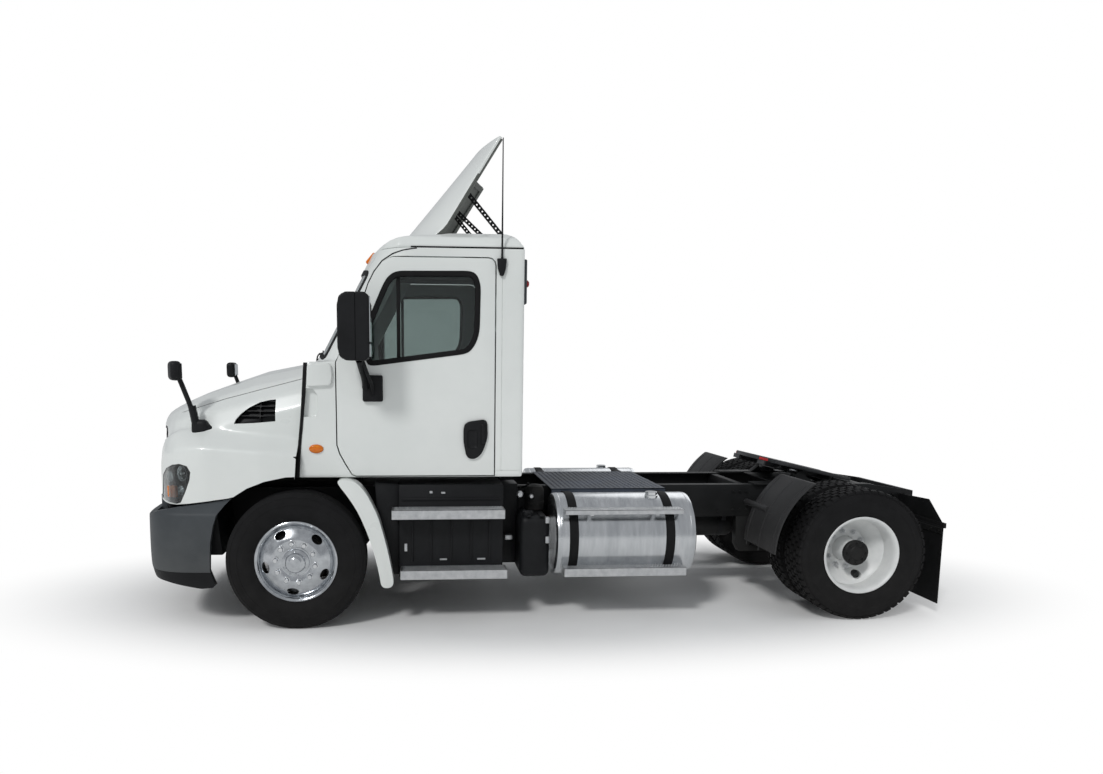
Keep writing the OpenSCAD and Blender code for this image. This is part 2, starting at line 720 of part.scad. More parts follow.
// Dashboard with the steering column, seen through the glass
column_y = 450;
column_foot = [-600, column_y, 1560];
column_tilt = 32;
column_len = 240;
module dashboard() {
    w = cab_side - wall_t - 12;
    outline = [[firewall_x[0], 1480], [firewall_x[0], 1925], [-400, 1935], [-590, 1840], [-650, 1700],
        [-630, 1540], [-520, 1480]];
    color("#2a2b2d") at_front() {
        side_plate(outline, [-w, w]);
        translate(column_foot) rotate([0, -column_tilt, 0]) {
            cylinder(d = 90, h = column_len - 30);
            cylinder(d = 26, h = column_len + 12);
        }
    }
}
module steering_wheel() {
    r = steering_wheel_d / 2;
    color("#1b1c1e") at_front() translate(column_foot) rotate([0, -column_tilt, 0])
        translate([0, 0, column_len]) difference() {
            union() {
                rotate_extrude() translate([r - 15, 20]) circle(d = 30, $fn = 24);
                for (a = [90, 210, 330]) rotate([0, 0, a]) translate([0, -20, 5]) cube([r - 15, 40, 14]);
                cylinder(d = 130, h = 34);
            }
            translate([0, 0, -eps]) cylinder(d = 26 + 2 * fit, h = 14 + eps);
        }
}

// Two seats, each a pedestal, a cushion, a back and a headrest
seat_y = 470;
seat_w = 500;
module seats() {
    floor = cab_floor_z + wall_t;
    color("#3a3b3e") at_front() both() {
        side_plate([[-1380, floor], [-960, floor], [-1000, 1480], [-1360, 1480]],
            [seat_y - 170, seat_y + 170]);
        side_plate([[-1400, 1480], [-900, 1480], [-890, 1560], [-930, 1610], [-1340, 1590], [-1400, 1600]],
            [seat_y - seat_w / 2, seat_y + seat_w / 2]);
        side_plate([[-1400, 1599], [-1320, 1599], [-1370, 2000], [-1400, 2200], [-1480, 2200],
            [-1490, 1900]], [seat_y - seat_w / 2 + 10, seat_y + seat_w / 2 - 10]);
        side_plate([[-1470, 2199], [-1420, 2199], [-1400, 2240], [-1410, 2390], [-1480, 2390],
            [-1490, 2260]], [seat_y - 140, seat_y + 140]);
    }
}

// ---------- doors ----------

pane_y = cab_side - wall_t / 2;
module door() {
    for (z = hinge_z) hinge_half(z + hinge_h + fit, -45);
    difference() {
        side_plate(door_outline(door_gap), [cab_side - wall_t, cab_side]);
        side_plate(window_outline(0), [cab_side - wall_t - eps, cab_side + eps]);
    }
}
module door_glass() {
    side_plate(window_outline(0), [pane_y, pane_y + glass_t]);
}
module door_left() { color("#eceeec") at_front() door(); }
module door_right() { color("#eceeec") at_front() mirror([0, 1, 0]) door(); }
module door_glass_left() { color("#5a6a72", 0.6) at_front() door_glass(); }
module door_glass_right() { color("#5a6a72", 0.6) at_front() mirror([0, 1, 0]) door_glass(); }

// Mirror on the door: foot, arm and tall head
mirror_head = [[-566, -340], [1180, 1420], [1945, 2410]];
mirror_foot = [[-635, -485], [1655, 1850]];
module door_mirror() {
    foot_y = cab_side + 35;
    h = mirror_head;
    y = [h[1][0] + cab_side - 1030, h[1][1] + cab_side - 1030];
    block(mirror_foot[0], [cab_side, foot_y], mirror_foot[1]);
    front_plate([[foot_y - 12, 1720], [foot_y - 12, 1800], [y[0] + 50, 1900], [y[0] + 60, h[2][0] + 5],
        [y[0] + 120, h[2][0] + 5], [y[0] + 110, 1860]], [-540, -480]);
    side_plate([[h[0][0], h[2][0] + 30], [h[0][0] + 30, h[2][0]], [h[0][1] - 50, h[2][0]],
        [h[0][1], h[2][0] + 60], [h[0][1], h[2][1] - 60], [h[0][1] - 50, h[2][1]],
        [h[0][0] + 30, h[2][1]], [h[0][0], h[2][1] - 30]], y);
}
module door_mirror_left() { color("#141516") at_front() door_mirror(); }
module door_mirror_right() { color("#141516") at_front() mirror([0, 1, 0]) door_mirror(); }

// ---------- roof fairing and antenna ----------

// The panel is part of an upright tube's wall, leaned back along its slope
fairing_r = 2600;
fairing_lean = 41;
fairing_foot = [-800, 2950];
strut_y = [-620, 0, 620];
strut_w = 40;
// A point on the panel's inner face, given its distance up the panel and from the centreline
function panel_point(up, y) =
    let (bow = sqrt(pow(fairing_r - fairing_t, 2) - pow(abs(y) + 4, 2)) - fairing_r - fit)
    [fairing_foot[0] + bow * cos(fairing_lean) - up * sin(fairing_lean),
        fairing_foot[1] + lift + bow * sin(fairing_lean) + up * cos(fairing_lean)];
// A point on the roof's rear slope, a given distance ahead of the cab's back
function roof_rear_point(x) = [cab_back + x, roof_z + roof_back[1]
    + (x - roof_back[0]) * (roof_full[1] - roof_back[1]) / (roof_full[0] - roof_back[0])];
module fairing_sweep(r) {
    translate([fairing_foot[0], 0, fairing_foot[1] + lift]) rotate([0, -fairing_lean, 0])
        translate([-fairing_r, 0, -900]) cylinder(r = r, h = 3000, $fn = 256);
}
module roof_fairing() {
    top = fairing_top_z;
    color("#eceeec") at_front() difference() {
        intersection() {
            difference() {
                fairing_sweep(fairing_r);
                fairing_sweep(fairing_r - fairing_t);
            }
            block([cab_back, -640], [-fairing_w / 2, fairing_w / 2], [roof_z, top]);
        }
        intersection() {
            front_plate(roof_section(0), [cab_back - 10, 0]);
            block([cab_back - 10, 0], [-cab_side, cab_side], [roof_z - 1, top]);
        }
    }
    color("#1c1d1f") at_front() for (y = strut_y)
        side_plate([panel_point(430, y), roof_rear_point(90 + strut_w), roof_rear_point(90),
            panel_point(430 + strut_w, y)], [y - 4, y + 4]);
}

antenna_x = -1492;
module antenna() {
    y = cab_side + 22;
    color("#111213") at_front() {
        side_plate([[-1520, 2680 + lift], [-1462, 2680 + lift], [-1466, 2610 + lift], [-1482, 2565 + lift],
            [-1500, 2565 + lift], [-1516, 2610 + lift]], [cab_side, y]);
        bar_z(7, antenna_x, cab_side + 14, [2679 + lift, 3510 + lift]);
    }
}

// ---------- outside the cab's foot ----------

// The wings' rear strips, behind the front wheels
flare_y = [985, 1150];
module wing_flares() {
    top = cab_floor_z;
    outline = [[-12, top - 15], [-12, top], [-270, top], [-420, top], [-470, top - 25], [-600, 860],
        [-695, 500], [-728, 300], [-628, 290], [-583, 502], [-500, 801], [-385, 1000], [-310, top - 25]];
    color("#eceeec") at_front() both() side_plate(outline, flare_y);
}

tread_t = 30;
step_y = [1000, 1150];
cab_step_x = [-1520, -740];
module cab_steps() {
    color("#a9acaf") at_front() both() {
        block([cab_step_x[0], cab_step_x[1] + 50], step_y, [880 - 75, 880]);
        block([cab_step_x[0] - 20, cab_step_x[1] - 10], step_y, [430 - 75, 430]);
    }
}

// Battery box on the left, exhaust treatment box on the right, and the fluid tank
module side_boxes() {
    color("#1b1c1e") at_front() {
        both() block(cab_step_x, [rail_y, step_y[0]], [340, 1040]);
        both() block([cab_step_x[0] + 15, cab_step_x[1] - 15], [rail_y, step_y[0]], [330, 345]);
        block([-1890, -1650], [rail_y, 985], [310, 1060]);
    }
}

tank_y = rail_y + 50 + tank_d / 2;
tank_x = [-1950 - tank_len, -1950];
tank_z = 625;
strap_x = [tank_x[1] - 95, tank_x[0] + 160];
// Height of the upper step's underside over the tank's axis, and where both steps start in the tank
tank_step_rise = 205;
tank_step_y = tank_y + sqrt(pow(tank_d / 2, 2) - pow(tank_step_rise, 2)) - 55.7;
module fuel_tanks() {
    color("#c6c9cc") at_front() both() {
        bar_x(tank_d, tank_x, tank_y, tank_z);
        bar_z(96, tank_x[0] + 330, tank_y - 40, [tank_z + tank_d / 2 - 20, tank_z + tank_d / 2 + 22]);
        for (x = strap_x) difference() {
            union() {
                bar_x(tank_d + 14, [x - 32, x + 32], tank_y, tank_z);
                block([x - 32, x + 32], [rail_y, tank_y], [rail_z0 - 60, rail_top_z - 10]);
            }
            bar_x(tank_d - 2, [x - 40, x + 40], tank_y, tank_z);
        }
        block([tank_x[0] + 70, tank_x[1] - 20], [tank_step_y, step_y[1]],
            [tank_z + tank_step_rise, tank_z + tank_step_rise + 40]);
        block([tank_x[0] + 90, tank_x[1] - 20], [tank_step_y, step_y[1]], [tank_z - 265, tank_z - 195]);
    }
}

deck_x = [-2860, -1940];
module deck_plate() {
    color("#39414d") at_front() block(deck_x, [-rail_y + 20, rail_y + 240], [rail_top_z, rail_top_z + 12]);
}

// ---------- fifth wheel ----------

pin_d = 60;
plate_top = 85;
module fifth_wheel() {
    w = plate_w / 2;
    mouth = 190;
    throat = 44;
    outline = mirrored([[500, 0], [500, 180], [430, 380], [300, w - 10], [150, w], [-180, w], [-330, w - 40],
        [-480, w - 130], [-490, mouth + 60], [-470, mouth], [-90, throat], [-40, throat]]);
    color("#222325") at_fifth_wheel() rotate([0, -plate_tilt, 0]) difference() {
        union() {
            plan_plate(outline, [plate_top - plate_t, plate_top]);
            // lock body under the plate and the bosses for the tilt pin
            block([-90, 110], [-130, 130], [plate_top - plate_t - lock_len, plate_top - plate_t + eps]);
            both() bar_y(pin_d + 36, 0, [250, 330], 0);
            both() block([-44, 44], [250, 330], [0, plate_top - plate_t + eps]);
        }
        bar_z(lock_d, 0, 0, [-200, plate_top + eps]);
        bar_z(2 * throat, 0, 0, [plate_top - plate_t, plate_top + eps]);
        both() bar_y(pin_d + 2 * fit, 0, [249, 331], 0);
    }
}

base_y = [338, 420];
module fifth_wheel_base() {
    color("#2a2c2e") at_fifth_wheel() {
        top = rail_top_z - fifth_pin_z;
        both() {
            block([-420, 420], [rail_y - 100, rail_y + 40], [top, top + 14]);
            side_plate([[-120, top + 13], [120, top + 13], [44, 0], [-44, 0]], base_y);
            bar_y(90, 0, base_y, 0);
            bar_y(pin_d, 0, [252, base_y[0] + eps], 0);
        }
        block([-200, 200], [-rail_y + 99, rail_y - 99], [top, top + 8]);
    }
}

// Quarter wings ahead of the rear wheels, and the mud flaps behind them with their hangers
module rear_wings() {
    y = [dual_y - 300, dual_y + 290];
    r = tyre_r + 185;
    arm = 26;
    flap_x = -700;
    color("#232426") at_rear() {
        both() {
            intersection() {
                translate([0, y[0], hub_z]) rotate([-90, 0, 0]) difference() {
                    cylinder(r = r, h = y[1] - y[0]);
                    translate([0, 0, -eps]) cylinder(r = r - 12, h = y[1] - y[0] + 2 * eps);
                }
                side_plate([[380, 1060], [900, 1060], [900, 470], [500, 470]], y);
            }
            bar_y(50, (r - 6) * cos(arm), [rail_y, y[0] + 260], hub_z + (r - 6) * sin(arm));
            block([flap_x, flap_x + 8], [dual_y - 290, dual_y + 290], [90, 700]);
            block([flap_x - 20, flap_x + 1], [rail_y, dual_y + 290], [690, 730]);
        }
    }
}

frame_rail_left();
frame_rail_right();
frame_crossmembers();
front_bumper();
radiator();
engine_and_gearbox();
driveshaft();
front_axle_beam();
front_springs();
rear_axle_housing();
rear_suspension();
knuckle_left();
knuckle_right();
tie_rod();
front_tyre_left();
front_tyre_right();
front_rim_left();
front_rim_right();
rear_tyres_left();
rear_tyres_right();
rear_rims_left();
rear_rims_right();
hood();
grilles();
headlights();
hood_mirrors();
cab_shell();
cab_roof();
cab_glass();
dashboard();
steering_wheel();
seats();
door_left();
door_right();
door_glass_left();
door_glass_right();
door_mirror_left();
door_mirror_right();
roof_fairing();
antenna();
wing_flares();
cab_steps();
side_boxes();
fuel_tanks();
deck_plate();
fifth_wheel();
fifth_wheel_base();
rear_wings();
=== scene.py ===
import math
import random

import bmesh
import bpy
from mathutils import Matrix, Vector


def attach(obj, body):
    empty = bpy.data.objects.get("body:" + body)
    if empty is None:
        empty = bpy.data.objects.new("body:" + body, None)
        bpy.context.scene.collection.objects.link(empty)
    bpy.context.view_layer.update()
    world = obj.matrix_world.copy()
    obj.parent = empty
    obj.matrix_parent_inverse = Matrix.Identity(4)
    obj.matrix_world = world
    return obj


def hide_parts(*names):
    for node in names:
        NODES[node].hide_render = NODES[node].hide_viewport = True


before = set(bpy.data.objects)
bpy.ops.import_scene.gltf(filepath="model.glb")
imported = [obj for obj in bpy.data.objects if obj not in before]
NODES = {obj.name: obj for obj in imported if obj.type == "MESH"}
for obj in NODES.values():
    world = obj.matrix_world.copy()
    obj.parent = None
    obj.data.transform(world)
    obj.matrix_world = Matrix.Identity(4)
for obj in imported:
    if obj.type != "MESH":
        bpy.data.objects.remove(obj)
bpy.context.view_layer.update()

# Where the two axles stand, in metres
FRONT = 1.94
REAR = -2.31
HUB_Z = 0.506
# How far out the cab's side and the frame rail's outer face stand
CAB_SIDE = 1.03
RAIL_SIDE = 0.4325
SIDES = ((1, "left"), (-1, "right"))
MIRRORED = Matrix.Scale(-1, 4, (0, 1, 0))


# ---------- camera, light and floor ----------

# Where the camera stands, in metres, and its yaw, pitch and roll, in radians
CAMERA_STAND = (FRONT - 0.8647, 7.1551, 1.9061)
CAMERA_AIM = (0.0794, -0.1373, 0.0057)


def look_through_camera():
    """The camera stands off the truck's left side, a little ahead of its middle."""
    data = bpy.data.cameras.new("camera")
    data.sensor_width = 36.0
    data.lens = 27.22945
    data.shift_x = 0.063672
    data.shift_y = 0.086954
    data.clip_end = 200.0
    camera = bpy.data.objects.new("camera", data)
    bpy.context.scene.collection.objects.link(camera)
    yaw, pitch, roll = CAMERA_AIM
    forward = Vector((-math.sin(yaw), -math.cos(yaw), 0))
    right = Vector((-math.cos(yaw), math.sin(yaw), 0))
    up = Vector((0, 0, 1))
    forward, up = (forward * math.cos(pitch) + up * math.sin(pitch),
                   up * math.cos(pitch) - forward * math.sin(pitch))
    right, up = right * math.cos(roll) + up * math.sin(roll), up * math.cos(roll) - right * math.sin(roll)
    turn = Matrix((right, up, -forward)).transposed().to_4x4()
    camera.matrix_world = at(*CAMERA_STAND) @ turn
    bpy.context.scene.camera = camera


def add(tree, kind, settings=None, links=None):
    """Adds one shader node. settings are its attributes, or its inputs by name; links feed its inputs."""
    made = tree.nodes.new(kind)
    for key, value in (settings or {}).items():
        if isinstance(key, str) and hasattr(made, key):
            setattr(made, key, value)
        else:
            made.inputs[key].default_value = value
    for key, source in (links or {}).items():
        tree.links.new(source, made.inputs[key])
    return made


def linear(code, alpha=1.0):
    """An sRGB hex colour as the linear colour that the shaders take."""
    parts = [int(code[i:i + 2], 16) / 255 for i in (1, 3, 5)]
    return tuple(c / 12.92 if c <= 0.04045 else ((c + 0.055) / 1.055) ** 2.4 for c in parts) + (alpha,)


def light_and_floor():
    """Even studio light, two soft suns and a pale paper sweep that fades to white."""
    scene = bpy.context.scene
    scene.view_settings.view_transform = "Standard"
    world = bpy.data.worlds.new("studio")
    scene.world = world
    world.use_nodes = True
    tree = world.node_tree
    tree.nodes.clear()
    path = add(tree, "ShaderNodeLightPath")
    seen = add(tree, "ShaderNodeMath", {"operation": "MAXIMUM"},
               {0: path.outputs["Is Camera Ray"], 1: path.outputs["Is Transmission Ray"]})
    # even white light from all round, brighter only where it is looked at or seen through glass
    lit = add(tree, "ShaderNodeBackground", {"Color": linear("#f2f5f9"), "Strength": 0.46})
    backdrop = add(tree, "ShaderNodeBackground", {"Color": linear("#ffffff"), "Strength": 1.0})
    both = add(tree, "ShaderNodeMixShader", None,
               {0: seen.outputs[0], 1: lit.outputs[0], 2: backdrop.outputs[0]})
    add(tree, "ShaderNodeOutputWorld", None, {"Surface": both.outputs[0]})

    for name, way, strength, width in (("key", (-0.42, -0.62, -0.66), 1.25, 10),
                                       ("fill", (0.5, 0.7, -0.5), 0.35, 40)):
        sun = bpy.data.lights.new(name, "SUN")
        sun.energy = strength
        sun.angle = math.radians(width)
        lamp = bpy.data.objects.new(name, sun)
        scene.collection.objects.link(lamp)
        lamp.rotation_euler = Vector(way).to_track_quat("-Z", "Y").to_euler()

    bm = bmesh.new()
    bmesh.ops.create_circle(bm, cap_ends=True, radius=60, segments=64)
    mesh = bpy.data.meshes.new("floor")
    bm.to_mesh(mesh)
    bm.free()
    floor = bpy.data.objects.new("floor", mesh)
    scene.collection.objects.link(floor)
    paper = bpy.data.materials.new("pale paper sweep")
    paper.use_nodes = True
    tree = paper.node_tree
    tree.nodes.clear()
    # the paper's own white close to the truck fades into the white backdrop further out
    place = add(tree, "ShaderNodeTexCoord").outputs["Object"]
    squeezed = add(tree, "ShaderNodeMapping", {"Scale": (0.2, 0.42, 1.0)}, {"Vector": place})
    away = add(tree, "ShaderNodeVectorMath", {"operation": "LENGTH"}, {0: squeezed.outputs[0]})
    fade = add(tree, "ShaderNodeMapRange",
               {"interpolation_type": "SMOOTHSTEP", "From Min": 0.55, "From Max": 1.0},
               {"Value": away.outputs["Value"]})
    grain = add(tree, "ShaderNodeTexNoise", {"Scale": 3.0, "Detail": 3.0}, {"Vector": place})
    tint = add(tree, "ShaderNodeValToRGB", None, {"Fac": grain.outputs["Fac"]})
    tint.color_ramp.elements[0].color = linear("#f2f2f1")
    tint.color_ramp.elements[1].color = linear("#f8f8f7")
    matt = add(tree, "ShaderNodeBsdfDiffuse", None, {"Color": tint.outputs["Color"]})
    white = add(tree, "ShaderNodeEmission", {"Color": linear("#ffffff"), "Strength": 1.0})
    seen = add(tree, "ShaderNodeLightPath").outputs["Is Camera Ray"]
    share = add(tree, "ShaderNodeMath", {"operation": "MULTIPLY"}, {0: fade.outputs[0], 1: seen})
    mix = add(tree, "ShaderNodeMixShader", None,
              {0: share.outputs[0], 1: matt.outputs[0], 2: white.outputs[0]})
    add(tree, "ShaderNodeOutputMaterial", None, {"Surface": mix.outputs[0]})
    mesh.materials.append(paper)


# ---------- materials ----------

def blank_material(name):
    """A new material, its node tree and its main shader."""
    made = bpy.data.materials.new(name)
    made.use_nodes = True
    return made, made.node_tree, made.node_tree.nodes["Principled BSDF"]


def finish_of(name, colours, spots, rough, bump, sockets=None, stretch=(1, 1, 1), dust=None):
    """A finish with two colours mixed in patches, a roughness that varies and a fine relief.
    spots is the patches' size in metres; bump is (size in metres, height in metres); dust is
    (colour, height below which it gathers, how much)."""
    made, tree, shader = blank_material(name)
    for key, value in (sockets or {}).items():
        shader.inputs[key].default_value = value
    place = add(tree, "ShaderNodeTexCoord").outputs["Object"]
    spread = add(tree, "ShaderNodeMapping", {"Scale": stretch}, {"Vector": place}).outputs[0]
    patches = add(tree, "ShaderNodeTexNoise", {"Scale": 1 / spots, "Detail": 5.0, "Roughness": 0.6},
                  {"Vector": spread}).outputs["Fac"]
    colour = add(tree, "ShaderNodeValToRGB", None, {"Fac": patches})
    colour.color_ramp.elements[0].position = 0.32
    colour.color_ramp.elements[1].position = 0.68
    colour.color_ramp.elements[0].color = linear(colours[0])
    colour.color_ramp.elements[1].color = linear(colours[1])
    base = colour.outputs["Color"]
    if dust:
        height = add(tree, "ShaderNodeSeparateXYZ", None, {0: place}).outputs["Z"]
        low = add(tree, "ShaderNodeMapRange", {"From Min": dust[1], "From Max": 0.0, "To Max": dust[2]},
                  {"Value": height}).outputs[0]
        settled = add(tree, "ShaderNodeMath", {"operation": "MULTIPLY"}, {0: low, 1: patches}).outputs[0]
        mixed = add(tree, "ShaderNodeMix", {"data_type": "RGBA"}, {0: settled, 6: base})
        mixed.inputs[7].default_value = linear(dust[0])
        base = mixed.outputs[2]
    tree.links.new(base, shader.inputs["Base Color"])
    sheen = add(tree, "ShaderNodeMapRange", {"To Min": rough[0], "To Max": rough[1]}, {"Value": patches})
    tree.links.new(sheen.outputs[0], shader.inputs["Roughness"])
    relief = add(tree, "ShaderNodeTexNoise", {"Scale": 1 / bump[0], "Detail": 2.0}, {"Vector": spread})
    raised = add(tree, "ShaderNodeBump", {"Strength": 1.0, "Distance": bump[1]},
                 {"Height": relief.outputs["Fac"]})
    tree.links.new(raised.outputs[0], shader.inputs["Normal"])
    return made


METAL = {"Metallic": 1.0}
# Two-pack white enamel over pressed steel and moulded hood: glossy, with a faint orange peel
PAINT = finish_of("sprayed white enamel", ("#e4e8e5", "#eef1ee"), 0.9, (0.24, 0.34), (0.03, 0.00004),
                  {"IOR": 1.5, "Coat Weight": 0.5, "Coat Roughness": 0.06}, dust=("#b9b3a6", 1.3, 0.35))
# Moulded grey thermoplastic: even grain, drawn at 6 mm so that it shows
BUMPER = finish_of("moulded grey thermoplastic", ("#363b3f", "#42474b"), 0.4, (0.5, 0.62),
                   (0.006, 0.0002), {"IOR": 1.48}, dust=("#77736a", 0.9, 0.5))
# Moulded black polypropylene: dull, a little paler where dust lies
WING = finish_of("moulded black polypropylene", ("#29292a", "#333334"), 0.3, (0.55, 0.68),
                 (0.006, 0.0002), {"IOR": 1.49, "Specular IOR Level": 0.3}, dust=("#5f5b55", 0.9, 0.3))
# Moulded black plastic: dark, with a low sheen and a fine grain
BLACK = finish_of("moulded black plastic", ("#101113", "#191a1c"), 0.15, (0.42, 0.6), (0.005, 0.0002),
                  {"IOR": 1.48, "Specular IOR Level": 0.25})
# Chassis paint: thin semi-gloss black over steel, with road dust lying on it
CHASSIS = finish_of("black chassis paint", ("#0e0f10", "#191a1b"), 0.22, (0.42, 0.7), (0.02, 0.0004),
                    {"IOR": 1.5, "Specular IOR Level": 0.25}, dust=("#4a463f", 0.9, 0.3))
# Painted cast iron: matt, with a rough skin, browner where road dirt settles
CAST = finish_of("painted cast iron", ("#121314", "#232220"), 0.12, (0.5, 0.8), (0.008, 0.0008),
                 {"IOR": 1.5, "Specular IOR Level": 0.25}, dust=("#4d463d", 0.9, 0.35))
# Carbon black tyre rubber: almost no shine, greyer near the ground
TYRE = finish_of("carbon black tyre rubber", ("#101011", "#19191a"), 0.1, (0.72, 0.9), (0.006, 0.0003),
                 {"IOR": 1.52, "Specular IOR Level": 0.2}, dust=("#3b3834", 0.9, 0.25))
# Extruded black rubber: even and matt
RUBBER = finish_of("extruded black rubber", ("#0c0c0d", "#161617"), 0.05, (0.6, 0.75), (0.01, 0.0002),
                   {"IOR": 1.52, "Specular IOR Level": 0.2})
# Forged aluminium, machine polished: bright, with slight haze where road film dried; its colour is set
# darker than the bare metal's as a painted reflection of dark surroundings
POLISHED_WITH_PAINTED_REFLECTION = finish_of("polished forged aluminium with painted dark reflection", ("#b4b7bb", "#d2d5d8"), 0.05, (0.12, 0.26),
                     (0.02, 0.00015), METAL)
# Chrome plating: close to a mirror, slightly hazed
CHROME = finish_of("chrome plating", ("#d6d8da", "#e6e7e8"), 0.05, (0.05, 0.12), (0.01, 0.00003), METAL)
# Rolled sheet polished up and down: hazy streaks run round the tank
TANK = finish_of("polished rolled aluminium sheet", ("#c2c5c8", "#dddfe1"), 0.12, (0.16, 0.3),
                 (0.05, 0.0002), METAL, stretch=(2.2, 0.6, 0.35))
# Extruded aluminium: bright, but its fine draw marks scatter the light
STEP = finish_of("extruded aluminium", ("#bfc1c3", "#dcddde"), 0.05, (0.3, 0.48), (0.004, 0.0004), METAL,
                 dust=("#8a8780", 0.9, 0.2))
# White powder coat on steel: satin, dulled low down by road film
WHEEL_WHITE = finish_of("white powder coat on steel", ("#d9dbda", "#e8e9e8"), 0.1, (0.3, 0.48),
                        (0.012, 0.0001), {"IOR": 1.5}, dust=("#8d867b", 0.9, 0.22))
# Blue-grey deck paint: satin, with patches worn duller
DECK = finish_of("blue-grey deck paint", ("#2b313b", "#3a4250"), 0.2, (0.4, 0.6), (0.01, 0.0004),
                 {"IOR": 1.5})
# Greased cast steel: dark, glossier where the grease lies thick
COUPLER = finish_of("greased cast steel", ("#17181a", "#303134"), 0.14, (0.28, 0.6), (0.01, 0.0007),
                    {"IOR": 1.5, "Specular IOR Level": 0.6})
# Grained dashboard vinyl: dark grey, with hardly a reflection
DASH = finish_of("grained dashboard vinyl", ("#2a2b2e", "#37383b"), 0.1, (0.6, 0.72), (0.004, 0.0003),
                 {"IOR": 1.48})
# Grey trim cloth: soft and matt, lighter at grazing angles
TRIM = finish_of("grey trim cloth", ("#45484a", "#54575a"), 0.1, (0.8, 0.92), (0.004, 0.0004),
                 {"IOR": 1.45, "Sheen Weight": 0.3})
# Amber lens plastic: glossy and saturated, lit a little from inside
AMBER = finish_of("amber lens plastic", ("#d5600c", "#ee8a1c"), 0.01, (0.08, 0.16), (0.008, 0.0008),
                  {"IOR": 1.49, "Subsurface Weight": 0.2})
# Red lens plastic: glossy and deep
RED = finish_of("red lens plastic", ("#8e0f14", "#b8161c"), 0.01, (0.08, 0.18), (0.008, 0.0008),
                {"IOR": 1.49})
# Red grease-point paint: satin, laid on unevenly by brush
RED_PAINT = finish_of("red grease-point paint", ("#9e1f22", "#c12a2c"), 0.02, (0.4, 0.6), (0.006, 0.0002),
                      {"IOR": 1.5})
# Glass-fibre moulding left bare behind the fairing: matt and slightly mottled; its grey is partly the
# moulding's own colour and partly painted shade on the fairing's back
FIBRE_AND_PAINTED_SHADE = finish_of("bare glass-fibre moulding with painted shade", ("#5b5e5a", "#6e716c"), 0.12, (0.6, 0.8), (0.01, 0.0006),
                  {"IOR": 1.5})
# Silvered mirror glass: a clean reflection of what stands round it
MIRROR = finish_of("silvered mirror glass", ("#d4d8da", "#e2e5e6"), 0.3, (0.02, 0.05), (0.2, 0.00001),
                   METAL)


def clear_sheet(name, tint, rough):
    """Glass or clear plastic, tinted through its thickness, with a faint film of dust."""
    made, tree, shader = blank_material(name)
    shader.inputs["Transmission Weight"].default_value = 1.0
    shader.inputs["IOR"].default_value = 1.45
    shader.inputs["Specular IOR Level"].default_value = 0.3
    place = add(tree, "ShaderNodeTexCoord").outputs["Object"]
    film = add(tree, "ShaderNodeTexNoise", {"Scale": 4.0, "Detail": 4.0}, {"Vector": place}).outputs["Fac"]
    shade = add(tree, "ShaderNodeValToRGB", None, {"Fac": film})
    shade.color_ramp.elements[0].color = linear(tint[0])
    shade.color_ramp.elements[1].color = linear(tint[1])
    tree.links.new(shade.outputs["Color"], shader.inputs["Base Color"])
    haze = add(tree, "ShaderNodeMapRange", {"To Min": rough[0], "To Max": rough[1]}, {"Value": film})
    tree.links.new(haze.outputs[0], shader.inputs["Roughness"])
    return made


# Laminated and toughened glass: a pale grey-green tint through which the cab is seen
GLASS = clear_sheet("tinted safety glass", ("#9aa6a4", "#a6b1af"), (0.0, 0.02))
# Moulded polycarbonate, lightly smoked: the lamp's bowl reads dark behind it
LENS = clear_sheet("smoked polycarbonate", ("#b3b9b9", "#bec4c4"), (0.0, 0.02))


def woven_cloth():
    """Seat cloth: two sets of 2.4 mm threads, drawn at 6 mm so that they show, over flecked grey yarn."""
    made, tree, shader = blank_material("woven seat cloth")
    shader.inputs["Sheen Weight"].default_value = 0.4
    shader.inputs["IOR"].default_value = 1.45
    place = add(tree, "ShaderNodeTexCoord").outputs["Object"]
    bands = []
    for way in ("X", "Z", "Y"):
        bands.append(add(tree, "ShaderNodeTexWave",
                         {"bands_direction": way, "Scale": 26.0, "Distortion": 0.6, "Detail": 1.0},
                         {"Vector": place}).outputs["Fac"])
    crossed = add(tree, "ShaderNodeMath", {"operation": "MULTIPLY"}, {0: bands[0], 1: bands[2]}).outputs[0]
    weave = add(tree, "ShaderNodeMath", {"operation": "MAXIMUM"}, {0: crossed, 1: bands[1]}).outputs[0]
    fleck = add(tree, "ShaderNodeTexNoise", {"Scale": 90.0, "Detail": 3.0},
                {"Vector": place}).outputs["Fac"]
    tone = add(tree, "ShaderNodeMath", {"operation": "MULTIPLY"}, {0: weave, 1: fleck}).outputs[0]
    yarn = add(tree, "ShaderNodeValToRGB", None, {"Fac": tone})
    yarn.color_ramp.elements[0].color = linear("#26282c")
    yarn.color_ramp.elements[1].color = linear("#5a5e66")
    tree.links.new(yarn.outputs["Color"], shader.inputs["Base Color"])
    nap = add(tree, "ShaderNodeMapRange", {"To Min": 0.8, "To Max": 0.95}, {"Value": fleck})
    tree.links.new(nap.outputs[0], shader.inputs["Roughness"])
    raised = add(tree, "ShaderNodeBump", {"Strength": 0.8, "Distance": 0.0012}, {"Height": weave})
    tree.links.new(raised.outputs[0], shader.inputs["Normal"])
    return made


# Woven seat cloth: matt grey, with its threads showing
CLOTH = woven_cloth()


# ---------- tools for shaping ----------

